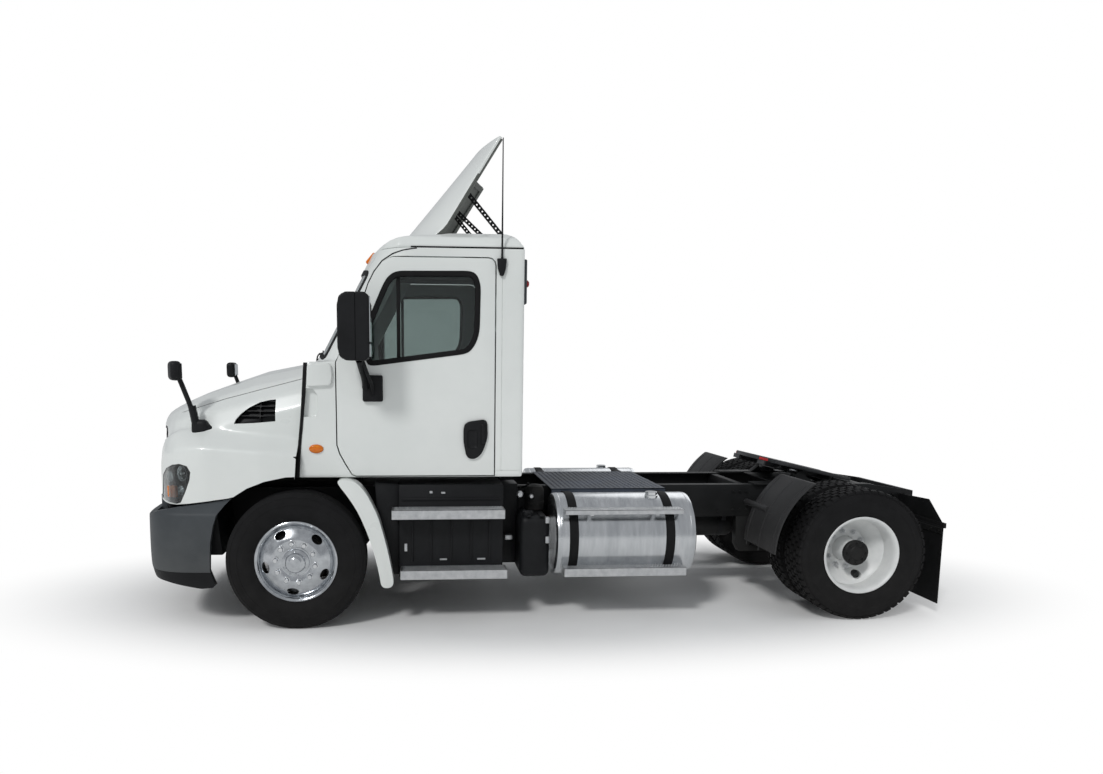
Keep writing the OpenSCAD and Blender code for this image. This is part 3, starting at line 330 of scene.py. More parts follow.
def prism(points, axis, span):
    """A closed prism: an outline drawn in the plane across an axis, run along it over a span."""
    bm = bmesh.new()
    order = {"x": lambda a, b, t: (t, a, b),
             "y": lambda a, b, t: (a, t, b),
             "z": lambda a, b, t: (a, b, t)}[axis]   # where the outline's two numbers go
    face = bm.faces.new([bm.verts.new(order(a, b, span[0])) for a, b in points])
    moved = bmesh.ops.extrude_face_region(bm, geom=[face])["geom"]
    step = {"x": (1, 0, 0), "y": (0, 1, 0), "z": (0, 0, 1)}[axis]
    bmesh.ops.translate(bm, vec=Vector(step) * (span[1] - span[0]),
                        verts=[v for v in moved if isinstance(v, bmesh.types.BMVert)])
    bmesh.ops.recalc_face_normals(bm, faces=bm.faces)
    return bm


def soft(points, radius, steps=5):
    """An outline with its corners rounded; a radius may be given for each corner."""
    made = []
    for i, p in enumerate(points):
        here = Vector(p)
        reach = radius[i] if isinstance(radius, (list, tuple)) else radius
        before, after = Vector(points[i - 1]), Vector(points[(i + 1) % len(points)])
        one = here + (before - here).normalized() * min(reach, (before - here).length * 0.49)
        two = here + (after - here).normalized() * min(reach, (after - here).length * 0.49)
        for k in range(steps + 1):
            t = k / steps
            made.append(tuple(one * (1 - t) ** 2 + here * 2 * t * (1 - t) + two * t * t))
    return made


def box(x, y, z):
    """A block between two corners, to be bevelled or carved."""
    bm = bmesh.new()
    bmesh.ops.create_cube(bm, size=1.0)
    for v in bm.verts:
        v.co = Vector((x[v.co.x > 0], y[v.co.y > 0], z[v.co.z > 0]))
    return bm


def join(*parts):
    """One bmesh from several."""
    whole = bmesh.new()
    for part in parts:
        mesh = bpy.data.meshes.new("part")
        part.to_mesh(mesh)
        part.free()
        whole.from_mesh(mesh)
        bpy.data.meshes.remove(mesh)
    return whole


def copy_of(bm, matrix=None):
    """A copy of a shape, moved by a matrix; a mirroring one also turns its faces over."""
    made = bm.copy()
    if matrix is not None:
        bmesh.ops.transform(made, matrix=matrix, verts=made.verts)
        if matrix.determinant() < 0:
            bmesh.ops.reverse_faces(made, faces=made.faces)
    return made


def at(x, y, z):
    """A move from the origin to a place."""
    return Matrix.Translation((x, y, z))


def tilted(degrees, axis):
    """A turn about an axis through the origin."""
    return Matrix.Rotation(math.radians(degrees), 4, axis)


def on_side(bm, side):
    """A left-hand shape as it is, or its mirror image for the right-hand side."""
    return copy_of(bm, MIRRORED) if side < 0 else bm


def to_side(side, near, far):
    """A span across the truck, on its left side (1) or its right (-1)."""
    return sorted((side * near, side * far))


def both_sides(bm):
    """A shape and its mirror image across the truck's centreline."""
    return join(bm, copy_of(bm, MIRRORED))


def rounded(bm, width, segments=2, angle=30):
    """Rounds the edges that turn by more than an angle."""
    sharp = [e for e in bm.edges if len(e.link_faces) == 2 and e.calc_face_angle(0) > math.radians(angle)]
    bmesh.ops.bevel(bm, geom=sharp, offset=width, offset_type="OFFSET", segments=segments, profile=0.5,
                    affect="EDGES", clamp_overlap=True, material=-1)
    return bm


def turned(profile, centre=(0, 0, 0), axis="y", steps=96):
    """A closed outline of (radius, distance along the axis), turned round an axis through a centre."""
    bm = bmesh.new()
    way = {"x": Vector((1, 0, 0)), "y": Vector((0, 1, 0)), "z": Vector((0, 0, 1))}[axis]
    out = Vector((0, 0, 1)) if axis != "z" else Vector((1, 0, 0))
    middle = Vector(centre)
    rim = [bm.verts.new(middle + out * r + way * a) for r, a in profile]
    edges = [bm.edges.new((rim[i], rim[(i + 1) % len(rim)])) for i in range(len(rim))]
    bmesh.ops.spin(bm, geom=rim + edges, cent=middle, axis=way, angle=2 * math.pi, steps=steps,
                   use_merge=True)
    bmesh.ops.remove_doubles(bm, verts=bm.verts, dist=0.00001)
    bmesh.ops.dissolve_degenerate(bm, dist=0.00001, edges=bm.edges)
    bmesh.ops.recalc_face_normals(bm, faces=bm.faces)
    return bm


def tube(points, width, sides=12, closed=False, smooth=True):
    """A round bar along a line of points, with its ends capped."""
    curve = bpy.data.curves.new("line", "CURVE")
    curve.dimensions = "3D"
    curve.resolution_u = 8 if smooth else 1
    curve.bevel_depth = width / 2
    curve.bevel_resolution = max(1, sides // 4 - 1)
    curve.use_fill_caps = True
    line = curve.splines.new("BEZIER" if smooth else "POLY")
    spots = line.bezier_points if smooth else line.points
    spots.add(len(points) - 1)
    for spot, p in zip(spots, points):
        spot.co = Vector(p) if smooth else (*p, 1.0)
        if smooth:
            spot.handle_left_type = spot.handle_right_type = "AUTO"
    line.use_cyclic_u = closed
    holder = bpy.data.objects.new("line", curve)
    bpy.context.scene.collection.objects.link(holder)
    bm = solid_of(holder)
    bmesh.ops.remove_doubles(bm, verts=bm.verts, dist=0.00001)
    bmesh.ops.recalc_face_normals(bm, faces=bm.faces)
    return bm


def ahead(points):
    """Outline points counted from the front axle, put in the truck's frame."""
    return [(FRONT + x, z) for x, z in points]


def side_shape(points, span):
    """A side outline counted from the front axle, run across the truck over a span."""
    return prism(ahead(points), "y", span)


def slab(x, y, z, width, segments=2):
    """A block between two corners, with rounded edges."""
    return rounded(box(x, y, z), width, segments)


def solid_of(holder):
    """The finished mesh of an object with its modifiers, as a bmesh; the object goes."""
    graph = bpy.context.evaluated_depsgraph_get()
    mesh = bpy.data.meshes.new_from_object(holder.evaluated_get(graph))
    bm = bmesh.new()
    bm.from_mesh(mesh)
    data = holder.data
    bpy.data.objects.remove(holder)
    bpy.data.meshes.remove(mesh)
    (bpy.data.curves if isinstance(data, bpy.types.Curve) else bpy.data.meshes).remove(data)
    return bm


def held(bm, name="held"):
    """Puts a shape in the scene as an object, to take modifiers; the shape goes."""
    mesh = bpy.data.meshes.new(name)
    bm.to_mesh(mesh)
    bm.free()
    holder = bpy.data.objects.new(name, mesh)
    bpy.context.scene.collection.objects.link(holder)
    return holder


def carve(bm, how, *cutters):
    """A closed shape less the cutters, or joined or limited to them."""
    holder = held(bm)
    others = [held(c) for c in cutters]
    for other in others:
        step = holder.modifiers.new("cut", "BOOLEAN")
        step.operation = how
        step.solver = "MANIFOLD"
        step.object = other
    made = solid_of(holder)
    for other in others:
        data = other.data
        bpy.data.objects.remove(other)
        bpy.data.meshes.remove(data)
    return made


def less(bm, *cutters):
    """A closed shape with the cutters taken away."""
    return carve(bm, "DIFFERENCE", *cutters)


def within(bm, *limits):
    """The part of a closed shape that lies inside the limits."""
    return carve(bm, "INTERSECT", *limits)


def clay(bm, voxel, passes):
    """Melts closed shapes into one skin and smooths it, as a modeller's clay is."""
    holder = held(bm)
    melt = holder.modifiers.new("melt", "REMESH")
    melt.mode = "VOXEL"
    melt.voxel_size = voxel
    calm = holder.modifiers.new("soft", "SMOOTH")
    calm.factor = 0.5
    calm.iterations = passes
    return solid_of(holder)


def hull(points):
    """The tight skin round a set of points."""
    bm = bmesh.new()
    for p in points:
        bm.verts.new(p)
    made = bmesh.ops.convex_hull(bm, input=bm.verts)
    bmesh.ops.delete(bm, geom=list({v for v in made["geom_interior"] if v.is_valid}), context="VERTS")
    bmesh.ops.recalc_face_normals(bm, faces=bm.faces)
    return bm


def copy_node(name):
    """A CAD node's mesh, merged, with its flat faces whole again."""
    bm = bmesh.new()
    bm.from_mesh(NODES[name].data)
    bmesh.ops.remove_doubles(bm, verts=bm.verts, dist=0.00002)
    bmesh.ops.dissolve_limit(bm, angle_limit=math.radians(0.4), verts=bm.verts, edges=bm.edges)
    return bm


def piece(name, bm, material, body, replaces=(), angle=32):
    """Puts a finished mesh in the scene on its body, in place of CAD nodes where it stands for them."""
    mesh = bpy.data.meshes.new(name)
    bm.normal_update()
    bm.to_mesh(mesh)
    bm.free()
    made = bpy.data.objects.new(name, mesh)
    bpy.context.scene.collection.objects.link(made)
    for finish in (material if isinstance(material, (list, tuple)) else [material]):
        mesh.materials.append(finish)
    mesh.polygons.foreach_set("use_smooth", [True] * len(mesh.polygons))
    mesh.set_sharp_from_angle(angle=math.radians(angle))
    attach(made, body)
    if replaces:
        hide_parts(*replaces)
    return made


look_through_camera()
light_and_floor()


# ---------- hood, wings and what they carry ----------

# Slices of the hood: distance ahead of the front axle, height at the middle and at the shoulder, half
# width
HOOD_SLICES = ((1.185, 1.44, 1.33, 0.1), (1.165, 1.505, 1.39, 0.21), (1.125, 1.55, 1.43, 0.34),
               (1.066, 1.583, 1.455, 0.5), (1.0, 1.618, 1.475, 0.65), (0.93, 1.648, 1.495, 0.78),
               (0.84, 1.69, 1.52, 0.88), (0.6, 1.777, 1.58, 0.945), (0.345, 1.866, 1.65, 0.975),
               (-0.062, 1.945, 1.745, 0.985), (-0.2, 1.975, 1.777, 0.988))
# Slices of a wing: distance ahead of the front axle, height of its top, half width there and at its bulge
WING_SLICES = ((1.06, 1.29, 0.64, 0.7), (1.0, 1.37, 0.76, 0.84), (0.93, 1.41, 0.85, 0.97),
               (0.86, 1.44, 0.89, 1.05), (0.76, 1.455, 0.915, 1.105), (0.64, 1.462, 0.93, 1.135),
               (0.25, 1.43, 0.95, 1.145), (-0.03, 1.39, 0.96, 1.11), (-0.2, 1.365, 0.966, 1.088))


def nose_skin():
    """Hood and wings melted into one closed body, which the outline is then cut from."""
    parts = []
    for side in (1, -1):
        points = []
        for x, top, shoulder, half in HOOD_SLICES:
            points += [(x, 0, top), (x, side * half * 0.45, top - (top - shoulder) * 0.18),
                       (x, side * half * 0.74, top - (top - shoulder) * 0.5),
                       (x, side * half * 0.93, shoulder), (x, side * half, shoulder - 0.13),
                       (x, side * half, 0.75), (x, 0, 0.75)]
        parts.append(hull([(FRONT + x, y, z) for x, y, z in points]))
        points = []
        for x, top, narrow, wide in WING_SLICES:
            points += [(x, side * 0.5, 0.75), (x, side * 0.5, top), (x, side * narrow, top),
                       (x, side * wide, top - 0.13), (x, side * wide, 0.75)]
        parts.append(hull([(FRONT + x, y, z) for x, y, z in points]))
    return clay(join(*parts), 0.016, 10)


def shrunk(bm, depth):
    """A skin pushed inwards by a wall's thickness."""
    made = bm.copy()
    made.normal_update()
    for v in made.verts:
        v.co -= v.normal * depth
    return made


def through_hood_sides(points):
    """A side outline run through the hood's left and right walls."""
    return both_sides(side_shape(points, (0.7, 1.3)))


# Side outline: nose, rear edge along the cowl, and the wheel arch
HOOD_SIDE = ((1.215, 0.905), (1.215, 2.0), (-0.062, 2.0), (-0.062, 1.93), (0.004, 1.1), (0.004, 1.118),
             (0.067, 1.117), (0.216, 1.088), (0.339, 1.04), (0.436, 0.978), (0.48, 0.968), (0.562, 0.957),
             (0.846, 0.915), (0.985, 0.905))
VENT = ((0.452, 1.49), (0.3, 1.497), (0.15, 1.51), (0.15, 1.668), (0.2, 1.662), (0.262, 1.648),
        (0.34, 1.61), (0.4, 1.565), (0.44, 1.52))
LAMP = ((1.048, 0.94), (1.022, 1.028), (1.01, 1.104), (0.955, 1.164), (0.885, 1.2), (0.819, 1.212),
        (0.76, 1.198), (0.735, 1.155), (0.744, 1.098), (0.778, 1.014), (0.822, 0.93), (0.86, 0.918),
        (0.96, 0.918), (1.04, 0.92))
GRILLE = ((-0.5, 1.0), (0.5, 1.0), (0.545, 1.02), (0.56, 1.06), (0.56, 1.34), (0.552, 1.39),
          (0.525, 1.425), (0.48, 1.44), (-0.48, 1.44), (-0.525, 1.425), (-0.552, 1.39), (-0.56, 1.34),
          (-0.56, 1.06), (-0.545, 1.02))


def hood_and_wings():
    """The hood skin with its wings: hollow, with the grille, vent and lamp openings."""
    skin = nose_skin()
    limits = side_shape(HOOD_SIDE, (-1.3, 1.3))
    inner = shrunk(skin, 0.032)
    lower = copy_of(inner, at(-0.25, 0, -0.02))
    body = within(skin, limits)
    seam = ((-0.1, 1.838), (0.55, 1.665), (1.0, 1.525), (1.26, 1.412))
    groove = side_shape(seam + tuple((x, z - 0.0035) for x, z in reversed(seam)), (0.66, 1.3))
    cuts = [inner, lower, prism(GRILLE, "x", (FRONT + 0.97, FRONT + 1.4)), through_hood_sides(VENT),
            through_hood_sides(LAMP), both_sides(groove)]
    body = less(body, *cuts)
    piece("hood_and_wings", body, PAINT, "hood", ("hood",), angle=38)


def front_slats():
    """The grille's frame and slats, and the fins in the hood's side vents."""
    skin = nose_skin()
    back = shrunk(skin, 0.03)
    zone = prism(GRILLE, "x", (FRONT + 0.9, FRONT + 1.4))
    hole = prism([(y * 0.94, 1.22 + (z - 1.22) * 0.9) for y, z in GRILLE], "x", (FRONT + 0.8, FRONT + 1.5))
    frame_bar = less(within(shrunk(skin, 0.004), zone), hole, copy_of(back))
    slats = []
    for i in range(9):
        z = 1.048 + i * 0.043
        slats.append(box((FRONT + 0.95, FRONT + 1.3), (-0.535, 0.535), (z, z + 0.013)))
    for y in (-0.27, 0.0, 0.27):
        slats.append(box((FRONT + 0.95, FRONT + 1.3), (y - 0.006, y + 0.006), (1.03, 1.425)))
    layer = less(shrunk(skin, 0.012), back)
    ribs = within(layer, clay(join(*slats), 0.008, 0))
    piece("grille_slats", join(frame_bar, ribs), BLACK, "hood", ("grilles",), angle=40)

    side = within(shrunk(skin, 0.045), through_hood_sides(VENT))
    fins = [box((FRONT + 0.1, FRONT + 0.5), (0.8, 1.2), (z, z + 0.006))
            for z in (1.545, 1.58, 1.615, 1.65)]
    fins.append(box((FRONT + 0.26, FRONT + 0.264), (0.8, 1.2), (1.48, 1.68)))
    layer = within(shrunk(skin, 0.014), through_hood_sides(VENT))
    layer = within(layer, both_sides(clay(join(*fins), 0.004, 0)))
    piece("hood_side_vents", join(side, layer), BLACK, "hood", angle=40)
    skin.free()


def headlamp():
    """Each headlamp: a dark bowl, two chrome reflectors, an amber lamp and a clear lens over them."""
    skin = nose_skin()
    small = [(0.885 + (x - 0.885) * 0.985, 1.07 + (z - 1.07) * 0.985) for x, z in LAMP]
    tiny = [(0.885 + (x - 0.885) * 0.92, 1.07 + (z - 1.07) * 0.92) for x, z in LAMP]
    zone = through_hood_sides(small)
    room = through_hood_sides(tiny)
    lens = less(shrunk(skin, 0.003), shrunk(skin, 0.0075))
    lens = within(lens, copy_of(zone))
    piece("headlamp_lenses", lens, LENS, "hood", ("headlights",), angle=40)
    bowl = within(shrunk(skin, 0.009), copy_of(zone))
    hollow = less(copy_of(skin), shrunk(skin, 0.075))
    bowl = less(less(bowl, shrunk(skin, 0.095)), within(hollow, room))
    piece("headlamp_bowls", bowl, BLACK, "hood", angle=40)
    zone.free()
    cups = []
    for x, z, r, y in ((0.822, 1.135, 0.052, 1.01), (0.925, 1.105, 0.038, 0.945),
                       (0.83, 1.01, 0.034, 1.01)):
        cup = turned([(0.0, -0.05), (r * 0.55, -0.042), (r * 0.9, -0.022), (r, 0.0), (r * 1.06, 0.0),
                      (r * 0.96, -0.026), (r * 0.6, -0.05), (0.0, -0.058)], steps=32)
        bulb = turned([(0.0, -0.05), (0.008, -0.05), (0.01, -0.022), (0.006, -0.012), (0.0, -0.01)],
                      steps=16)
        place = at(FRONT + x, y, z) @ tilted(-38, "Z")
        cups.append(copy_of(join(cup, bulb), place))
    block = slab((-0.045, 0.045), (-0.016, 0.016), (-0.048, 0.04), 0.01)
    block = copy_of(block, at(FRONT + 0.91, 0.95, 1.0) @ tilted(-38, "Z"))
    piece("headlamp_reflectors", both_sides(join(*cups)), CHROME, "hood", angle=40)
    piece("headlamp_amber_lamps", both_sides(block), AMBER, "hood", angle=40)
    skin.free()


def hood_mirror_pair():
    """The two convex mirrors on the hood, each on a foot and a bent arm."""
    foot = clay(join(slab((FRONT + 0.6, FRONT + 0.735), (0.85, 0.955), (1.37, 1.48), 0.03),
                     slab((FRONT + 0.64, FRONT + 0.76), (0.88, 0.968), (1.4, 1.52), 0.03)), 0.007, 8)
    arm = join(tube([(FRONT + 0.722, 0.935, 1.42), (FRONT + 0.748, 0.944, 1.58),
                     (FRONT + 0.8, 0.948, 1.74), (FRONT + 0.832, 0.952, 1.83)], 0.036),
               tube([(FRONT + 0.715, 0.938, 1.41), (FRONT + 0.732, 0.944, 1.53),
                     (FRONT + 0.748, 0.946, 1.62)], 0.056))
    head, faces = [], []
    for side, turn in ((1, 24), (-1, 0)):
        aim = at(FRONT + 0.852, side * 0.955, 1.872) @ tilted(turn, "Z")
        shell = clay(slab((-0.036, 0.044), (-0.083, 0.083), (-0.07, 0.07), 0.03, 4), 0.006, 8)
        head.append(copy_of(shell, aim))
        shell.free()
        face = slab((-0.0372, -0.0345), (-0.066, 0.066), (-0.052, 0.052), 0.001, 1)
        faces.append(copy_of(face, aim))
        face.free()
    bolts = [turned([(0.0, 0.0), (0.007, 0.0), (0.007, 0.005), (0.0, 0.006)], (FRONT + x, 0.952, z),
                    steps=6) for x, z in ((0.655, 1.42), (0.725, 1.42))]
    piece("hood_mirror_arms", join(both_sides(join(foot, arm, *bolts)), *head), BLACK, "hood",
          ("hood_mirrors",), angle=40)
    piece("hood_mirror_faces", join(*faces), MIRROR, "hood")


# ---------- bumper ----------

BUMPER_PLAN = ((1.21, 0.0), (1.207, 0.16), (1.2, 0.32), (1.186, 0.5), (1.166, 0.65), (1.132, 0.81),
               (1.085, 0.94), (1.028, 1.025), (0.93, 1.095), (0.8, 1.128), (0.66, 1.136), (0.5, 1.14),
               (0.38, 1.14))
# Height and how far the wall stands in from its widest
BUMPER_LEVELS = ((0.27, 0.07), (0.315, 0.04), (0.372, 0.018), (0.418, 0.01), (0.426, 0.004), (0.52, 0.0),
                 (0.66, 0.0), (0.8, 0.002), (0.846, 0.004), (0.852, 0.01), (0.88, 0.014), (0.905, 0.018),
                 (0.96, 0.022), (1.03, 0.028))


def bumper():
    """The bumper: a wall swept along its plan, its air intake and the darker valance below."""
    half = list(BUMPER_PLAN)
    path = [Vector((FRONT + x, y, 0)) for x, y in half] + [Vector((FRONT + x, -y, 0)) for x, y in half[1:]]
    path = [path[i] for i in list(range(len(half) - 1, -1, -1)) + list(range(len(half), len(path)))]
    bm = bmesh.new()
    made = bmesh.ops.create_grid(bm, x_segments=len(path) - 1, y_segments=len(BUMPER_LEVELS) - 1, size=1.0)
    rows = {}
    for v in made["verts"]:
        i = round((v.co.x + 1) / 2 * (len(path) - 1))
        j = round((v.co.y + 1) / 2 * (len(BUMPER_LEVELS) - 1))
        rows[v] = (i, j)
    for v, (i, j) in rows.items():
        along = (path[min(i + 1, len(path) - 1)] - path[max(i - 1, 0)]).normalized()
        out = Vector((-along.y, along.x, 0))
        if out.dot(path[i] - Vector((FRONT + 0.4, 0, 0))) < 0:
            out = -out
        z, inward = BUMPER_LEVELS[j]
        v.co = path[i] - out * inward + Vector((0, 0, z))
    bmesh.ops.recalc_face_normals(bm, faces=bm.faces)
    middle = max(bm.faces, key=lambda f: f.calc_center_median().x)
    if middle.normal.x < 0:
        bmesh.ops.reverse_faces(bm, faces=bm.faces)
    holder = held(bm)
    curved = holder.modifiers.new("curved", "SUBSURF")
    curved.levels = curved.render_levels = 2
    wall = holder.modifiers.new("wall", "SOLIDIFY")
    wall.thickness = 0.045
    wall.offset = -1
    shell = solid_of(holder)
    side = ((1.23, 0.418), (1.18, 0.368), (0.96, 0.345), (0.7, 0.292), (0.615, 0.3), (0.59, 0.325),
            (0.622, 0.443), (0.612, 0.64), (0.59, 0.76), (0.56, 0.85), (0.5, 0.92), (0.455, 0.962),
            (0.562, 0.944), (0.846, 0.899), (0.985, 0.868), (1.06, 0.84), (1.12, 0.805), (1.23, 0.79))
    body = within(copy_of(shell), side_shape(side, (-1.3, 1.3)))
    split = side_shape(((-0.1, 0.2), (1.4, 0.2), (1.4, 0.425), (-0.1, 0.425)), (-1.4, 1.4))
    intake = join(rounded(prism([(-0.44, 0.52), (0.44, 0.52), (0.47, 0.66), (-0.47, 0.66)], "x",
                                (FRONT + 1.05, FRONT + 1.3)), 0.02),
                  both_sides(rounded(prism([(0.6, 0.52), (0.74, 0.52), (0.76, 0.63), (0.6, 0.65)], "x",
                                           (FRONT + 0.95, FRONT + 1.3)), 0.015)))
    upper = less(copy_of(body), split, copy_of(intake))
    valance = within(body, side_shape(((-0.1, 0.2), (1.4, 0.2), (1.4, 0.423), (-0.1, 0.423)),
                                      (-1.4, 1.4)))
    arms = []
    for side_y in (1, -1):
        low, high = to_side(side_y, 0.3435, RAIL_SIDE)
        arms.append(slab((FRONT + 1.1, FRONT + 1.145), (low, high), (0.7, 0.9), 0.004))
    piece("bumper_skin", join(upper, *arms), BUMPER, "chassis", ("front_bumper",), angle=35)
    mesh_back = within(shell, clay(intake, 0.01, 0))
    for v in mesh_back.verts:
        v.co.x -= 0.03
    filler = slab((FRONT + 0.96, FRONT + 1.02), (-0.7, 0.7), (0.7, 0.925), 0.02)
    piece("bumper_valance", join(valance, mesh_back, filler), BLACK, "chassis", angle=35)


# ---------- cab ----------

CAB_BACK = FRONT - 1.66
WAIST = 1.94
# The windscreen's foot and its lean, as one placement
SCREEN_SLOPE = at(FRONT - 0.08, 0, WAIST) @ tilted(-28, "Y")


def swept(points, span=(-0.9, 1.9)):
    """An outline in plan, swept up the windscreen's slope."""
    bm = prism(points, "z", span)
    bmesh.ops.transform(bm, matrix=SCREEN_SLOPE, verts=bm.verts)
    return bm


def screen_plan(t):
    """Half the cab's plan at the windscreen and its mirror image, moved inwards by t."""
    half = [(-t, 0), (-0.004 - t, 0.21), (-0.013 - t, 0.42), (-0.032 - t, 0.6), (-0.06 - t, 0.74),
            (-0.086 - t, 0.83), (-0.12 - t, 0.9), (-0.16 - t, 0.96 - t * 0.6), (-0.208 - t, 1.004 - t),
            (-0.27 - t, CAB_SIDE - 0.005 - t), (-0.33 - t, CAB_SIDE - t), (-2.6, CAB_SIDE - t)]
    return half + [(x, -y) for x, y in reversed(half[1:])]


DOOR = ((-1.455, 1.106), (-0.43, 1.106), (-0.398, 1.12), (-0.352, 1.196), (-0.31, 1.275), (-0.29, 1.34),
        (-0.29, 1.94), (-0.562, 2.555), (-0.59, 2.605), (-0.62, 2.64), (-0.66, 2.672), (-0.706, 2.692),
        (-1.395, 2.692), (-1.425, 2.685), (-1.447, 2.662), (-1.455, 2.632))
WINDOW = ((-0.549, 1.928), (-0.53, 1.945), (-0.517, 2.0), (-0.517, 2.169), (-0.655, 2.486), (-0.69, 2.54),
          (-0.741, 2.571), (-1.26, 2.578), (-1.3, 2.56), (-1.325, 2.495), (-1.319, 2.176), (-1.3, 2.1),
          (-1.262, 2.04), (-1.225, 2.018))


def window_line(depth):
    """The side window's outline, moved inwards, with soft corners."""
    return ahead(soft(inset(WINDOW, depth), 0.05, 3))


def inset(points, depth):
    """An outline moved inwards (or outwards, when depth is negative) along its corners' bisectors."""
    area = sum(a[0] * b[1] - b[0] * a[1] for a, b in zip(points, points[1:] + points[:1])) / 2
    turn = 1 if area > 0 else -1
    made = []
    for i, p in enumerate(points):
        before, after = Vector(points[i - 1]), Vector(points[(i + 1) % len(points)])
        one, two = (Vector(p) - before).normalized(), (after - Vector(p)).normalized()
        normal = Vector((-(one.y + two.y), one.x + two.x)) * turn
        normal.normalize()
        share = max(0.5, normal.dot(Vector((-one.y, one.x)) * turn))
        made.append((p[0] + normal.x * depth / share, p[1] + normal.y * depth / share))
    return made


def cab_body():
    """The cab's walls: pressed steel with soft corners, its door openings and its window openings."""
    wall = 0.06
    lower = box((CAB_BACK, FRONT - 0.23), (-CAB_SIDE, CAB_SIDE), (1.1, 1.95))
    cowl = side_shape(((-0.01, 1.1), (-0.07, 1.93), (-0.092, 1.942), (-0.35, 1.942), (-0.35, 1.1)),
                      (-CAB_SIDE, CAB_SIDE))
    top = within(swept(screen_plan(0)), box((CAB_BACK, FRONT + 0.4), (-CAB_SIDE, CAB_SIDE), (1.93, 2.8)))
    body = clay(join(lower, cowl, top), 0.017, 4)
    limits = box((CAB_BACK, FRONT), (-CAB_SIDE, CAB_SIDE), (1.102, 2.75))
    body = within(body, limits)
    room = box((CAB_BACK + wall, FRONT - 0.29), (-CAB_SIDE + wall, CAB_SIDE - wall), (1.16, 1.945))
    upper_room = within(swept(screen_plan(wall)),
                        box((CAB_BACK + wall, FRONT + 0.4), (-CAB_SIDE + wall, CAB_SIDE - wall),
                            (1.94, 2.9)))
    under_cowl = box((FRONT - 0.25, FRONT + 0.1), (-CAB_SIDE + wall, CAB_SIDE - wall), (1.0, 1.89))
    door = both_sides(side_shape(DOOR, (CAB_SIDE - wall - 0.012, CAB_SIDE + 0.05)))
    screen = slab((-0.24, 0.06), (-0.85, 0.85), (0.07, 0.79), 0.05, 4)
    bmesh.ops.transform(screen, matrix=SCREEN_SLOPE, verts=screen.verts)
    rear = slab((CAB_BACK - 0.02, CAB_BACK + 0.08), (-0.48, 0.48), (2.08, 2.5), 0.035, 4)
    body = less(body, room, upper_room, under_cowl, door, screen, rear)
    # the recess in the cowl's side, and a pressed line at the sill and behind the door
    dent = both_sides(rounded(side_shape(((-0.035, 1.545), (-0.15, 1.545), (-0.165, 1.6), (-0.165, 1.7),
                                          (-0.13, 1.752), (-0.035, 1.752)), (0.995, 1.06)), 0.012, 3))
    lines = both_sides(join(box((CAB_BACK - 0.02, CAB_BACK + 0.2), (1.0255, 1.06), (1.148, 1.153)),
                            box((FRONT - 1.5, FRONT - 1.495), (1.0255, 1.06), (1.15, 2.7))))
    body = less(body, dent, lines)
    piece("cab_body", body, PAINT, "chassis", ("cab_shell",), angle=35)


def cab_roof_cap():
    """The roof cap: a moulded dome with a soft rim, over a dark seal."""
    cap = clay(copy_node("cab_roof"), 0.0135, 5)
    brow = ((-0.49, 2.65), (-0.509, 2.672), (-0.537, 2.71), (-0.574, 2.748), (-0.63, 2.784),
            (-0.694, 2.813), (-0.805, 2.842), (-0.92, 2.856), (-1.05, 2.866), (-1.2, 2.9))
    for v in cap.verts:
        x = v.co.x - FRONT
        if x < brow[-1][0]:
            continue
        low = brow[0][1]
        for (x0, z0), (x1, z1) in zip(brow, brow[1:]):
            if x1 <= x <= x0:
                low = z0 + (z1 - z0) * (x - x0) / (x1 - x0)
        depth = 0.0 if v.normal.z > 0.05 else 0.012
        v.co.z = min(v.co.z, max(low - depth, 2.7 - depth))
    bmesh.ops.smooth_vert(cap, verts=[v for v in cap.verts if v.co.x > FRONT - 1.2 and v.co.z > 2.75],
                          factor=0.5, use_axis_x=False, use_axis_y=False, use_axis_z=True)
    piece("roof_cap", cap, PAINT, "chassis", ("cab_roof",), angle=40)
    ring = within(swept(screen_plan(0.016)),
                  box((CAB_BACK + 0.01, FRONT - 0.84), (-1.012, 1.012), (2.738, 2.764)))
    hole = within(swept(screen_plan(0.05)),
                  box((CAB_BACK + 0.05, FRONT + 0.4), (-0.97, 0.97), (2.7, 2.8)))
    line = ((-0.88, 2.75), (-0.85, 2.747), (-0.78, 2.736), (-0.705, 2.713), (-0.627, 2.668),
            (-0.568, 2.596), (-0.526, 2.514), (-0.5, 2.436))
    band = side_shape(line + tuple((x - 0.006, z - 0.007) for x, z in reversed(line)), (-1.2, 1.2))
    band = within(swept(screen_plan(-0.0012)), band)
    band = less(band, box((FRONT - 2, FRONT + 1), (-0.9, 0.9), (2, 3)))
    piece("roof_seal", join(less(ring, hole), band), RUBBER, "chassis", angle=35)
    lamps = []
    for y in (-0.56, -0.22, 0.0, 0.22, 0.56):
        lamps.append(copy_of(clay(slab((-0.05, 0.05), (-0.035, 0.035), (-0.01, 0.02), 0.01), 0.004, 4),
                             at(FRONT - 0.532 - abs(y) * 0.012, y, 2.722) @ tilted(50, "Y")))
    piece("roof_marker_lamps", join(*lamps), AMBER, "chassis", angle=50)


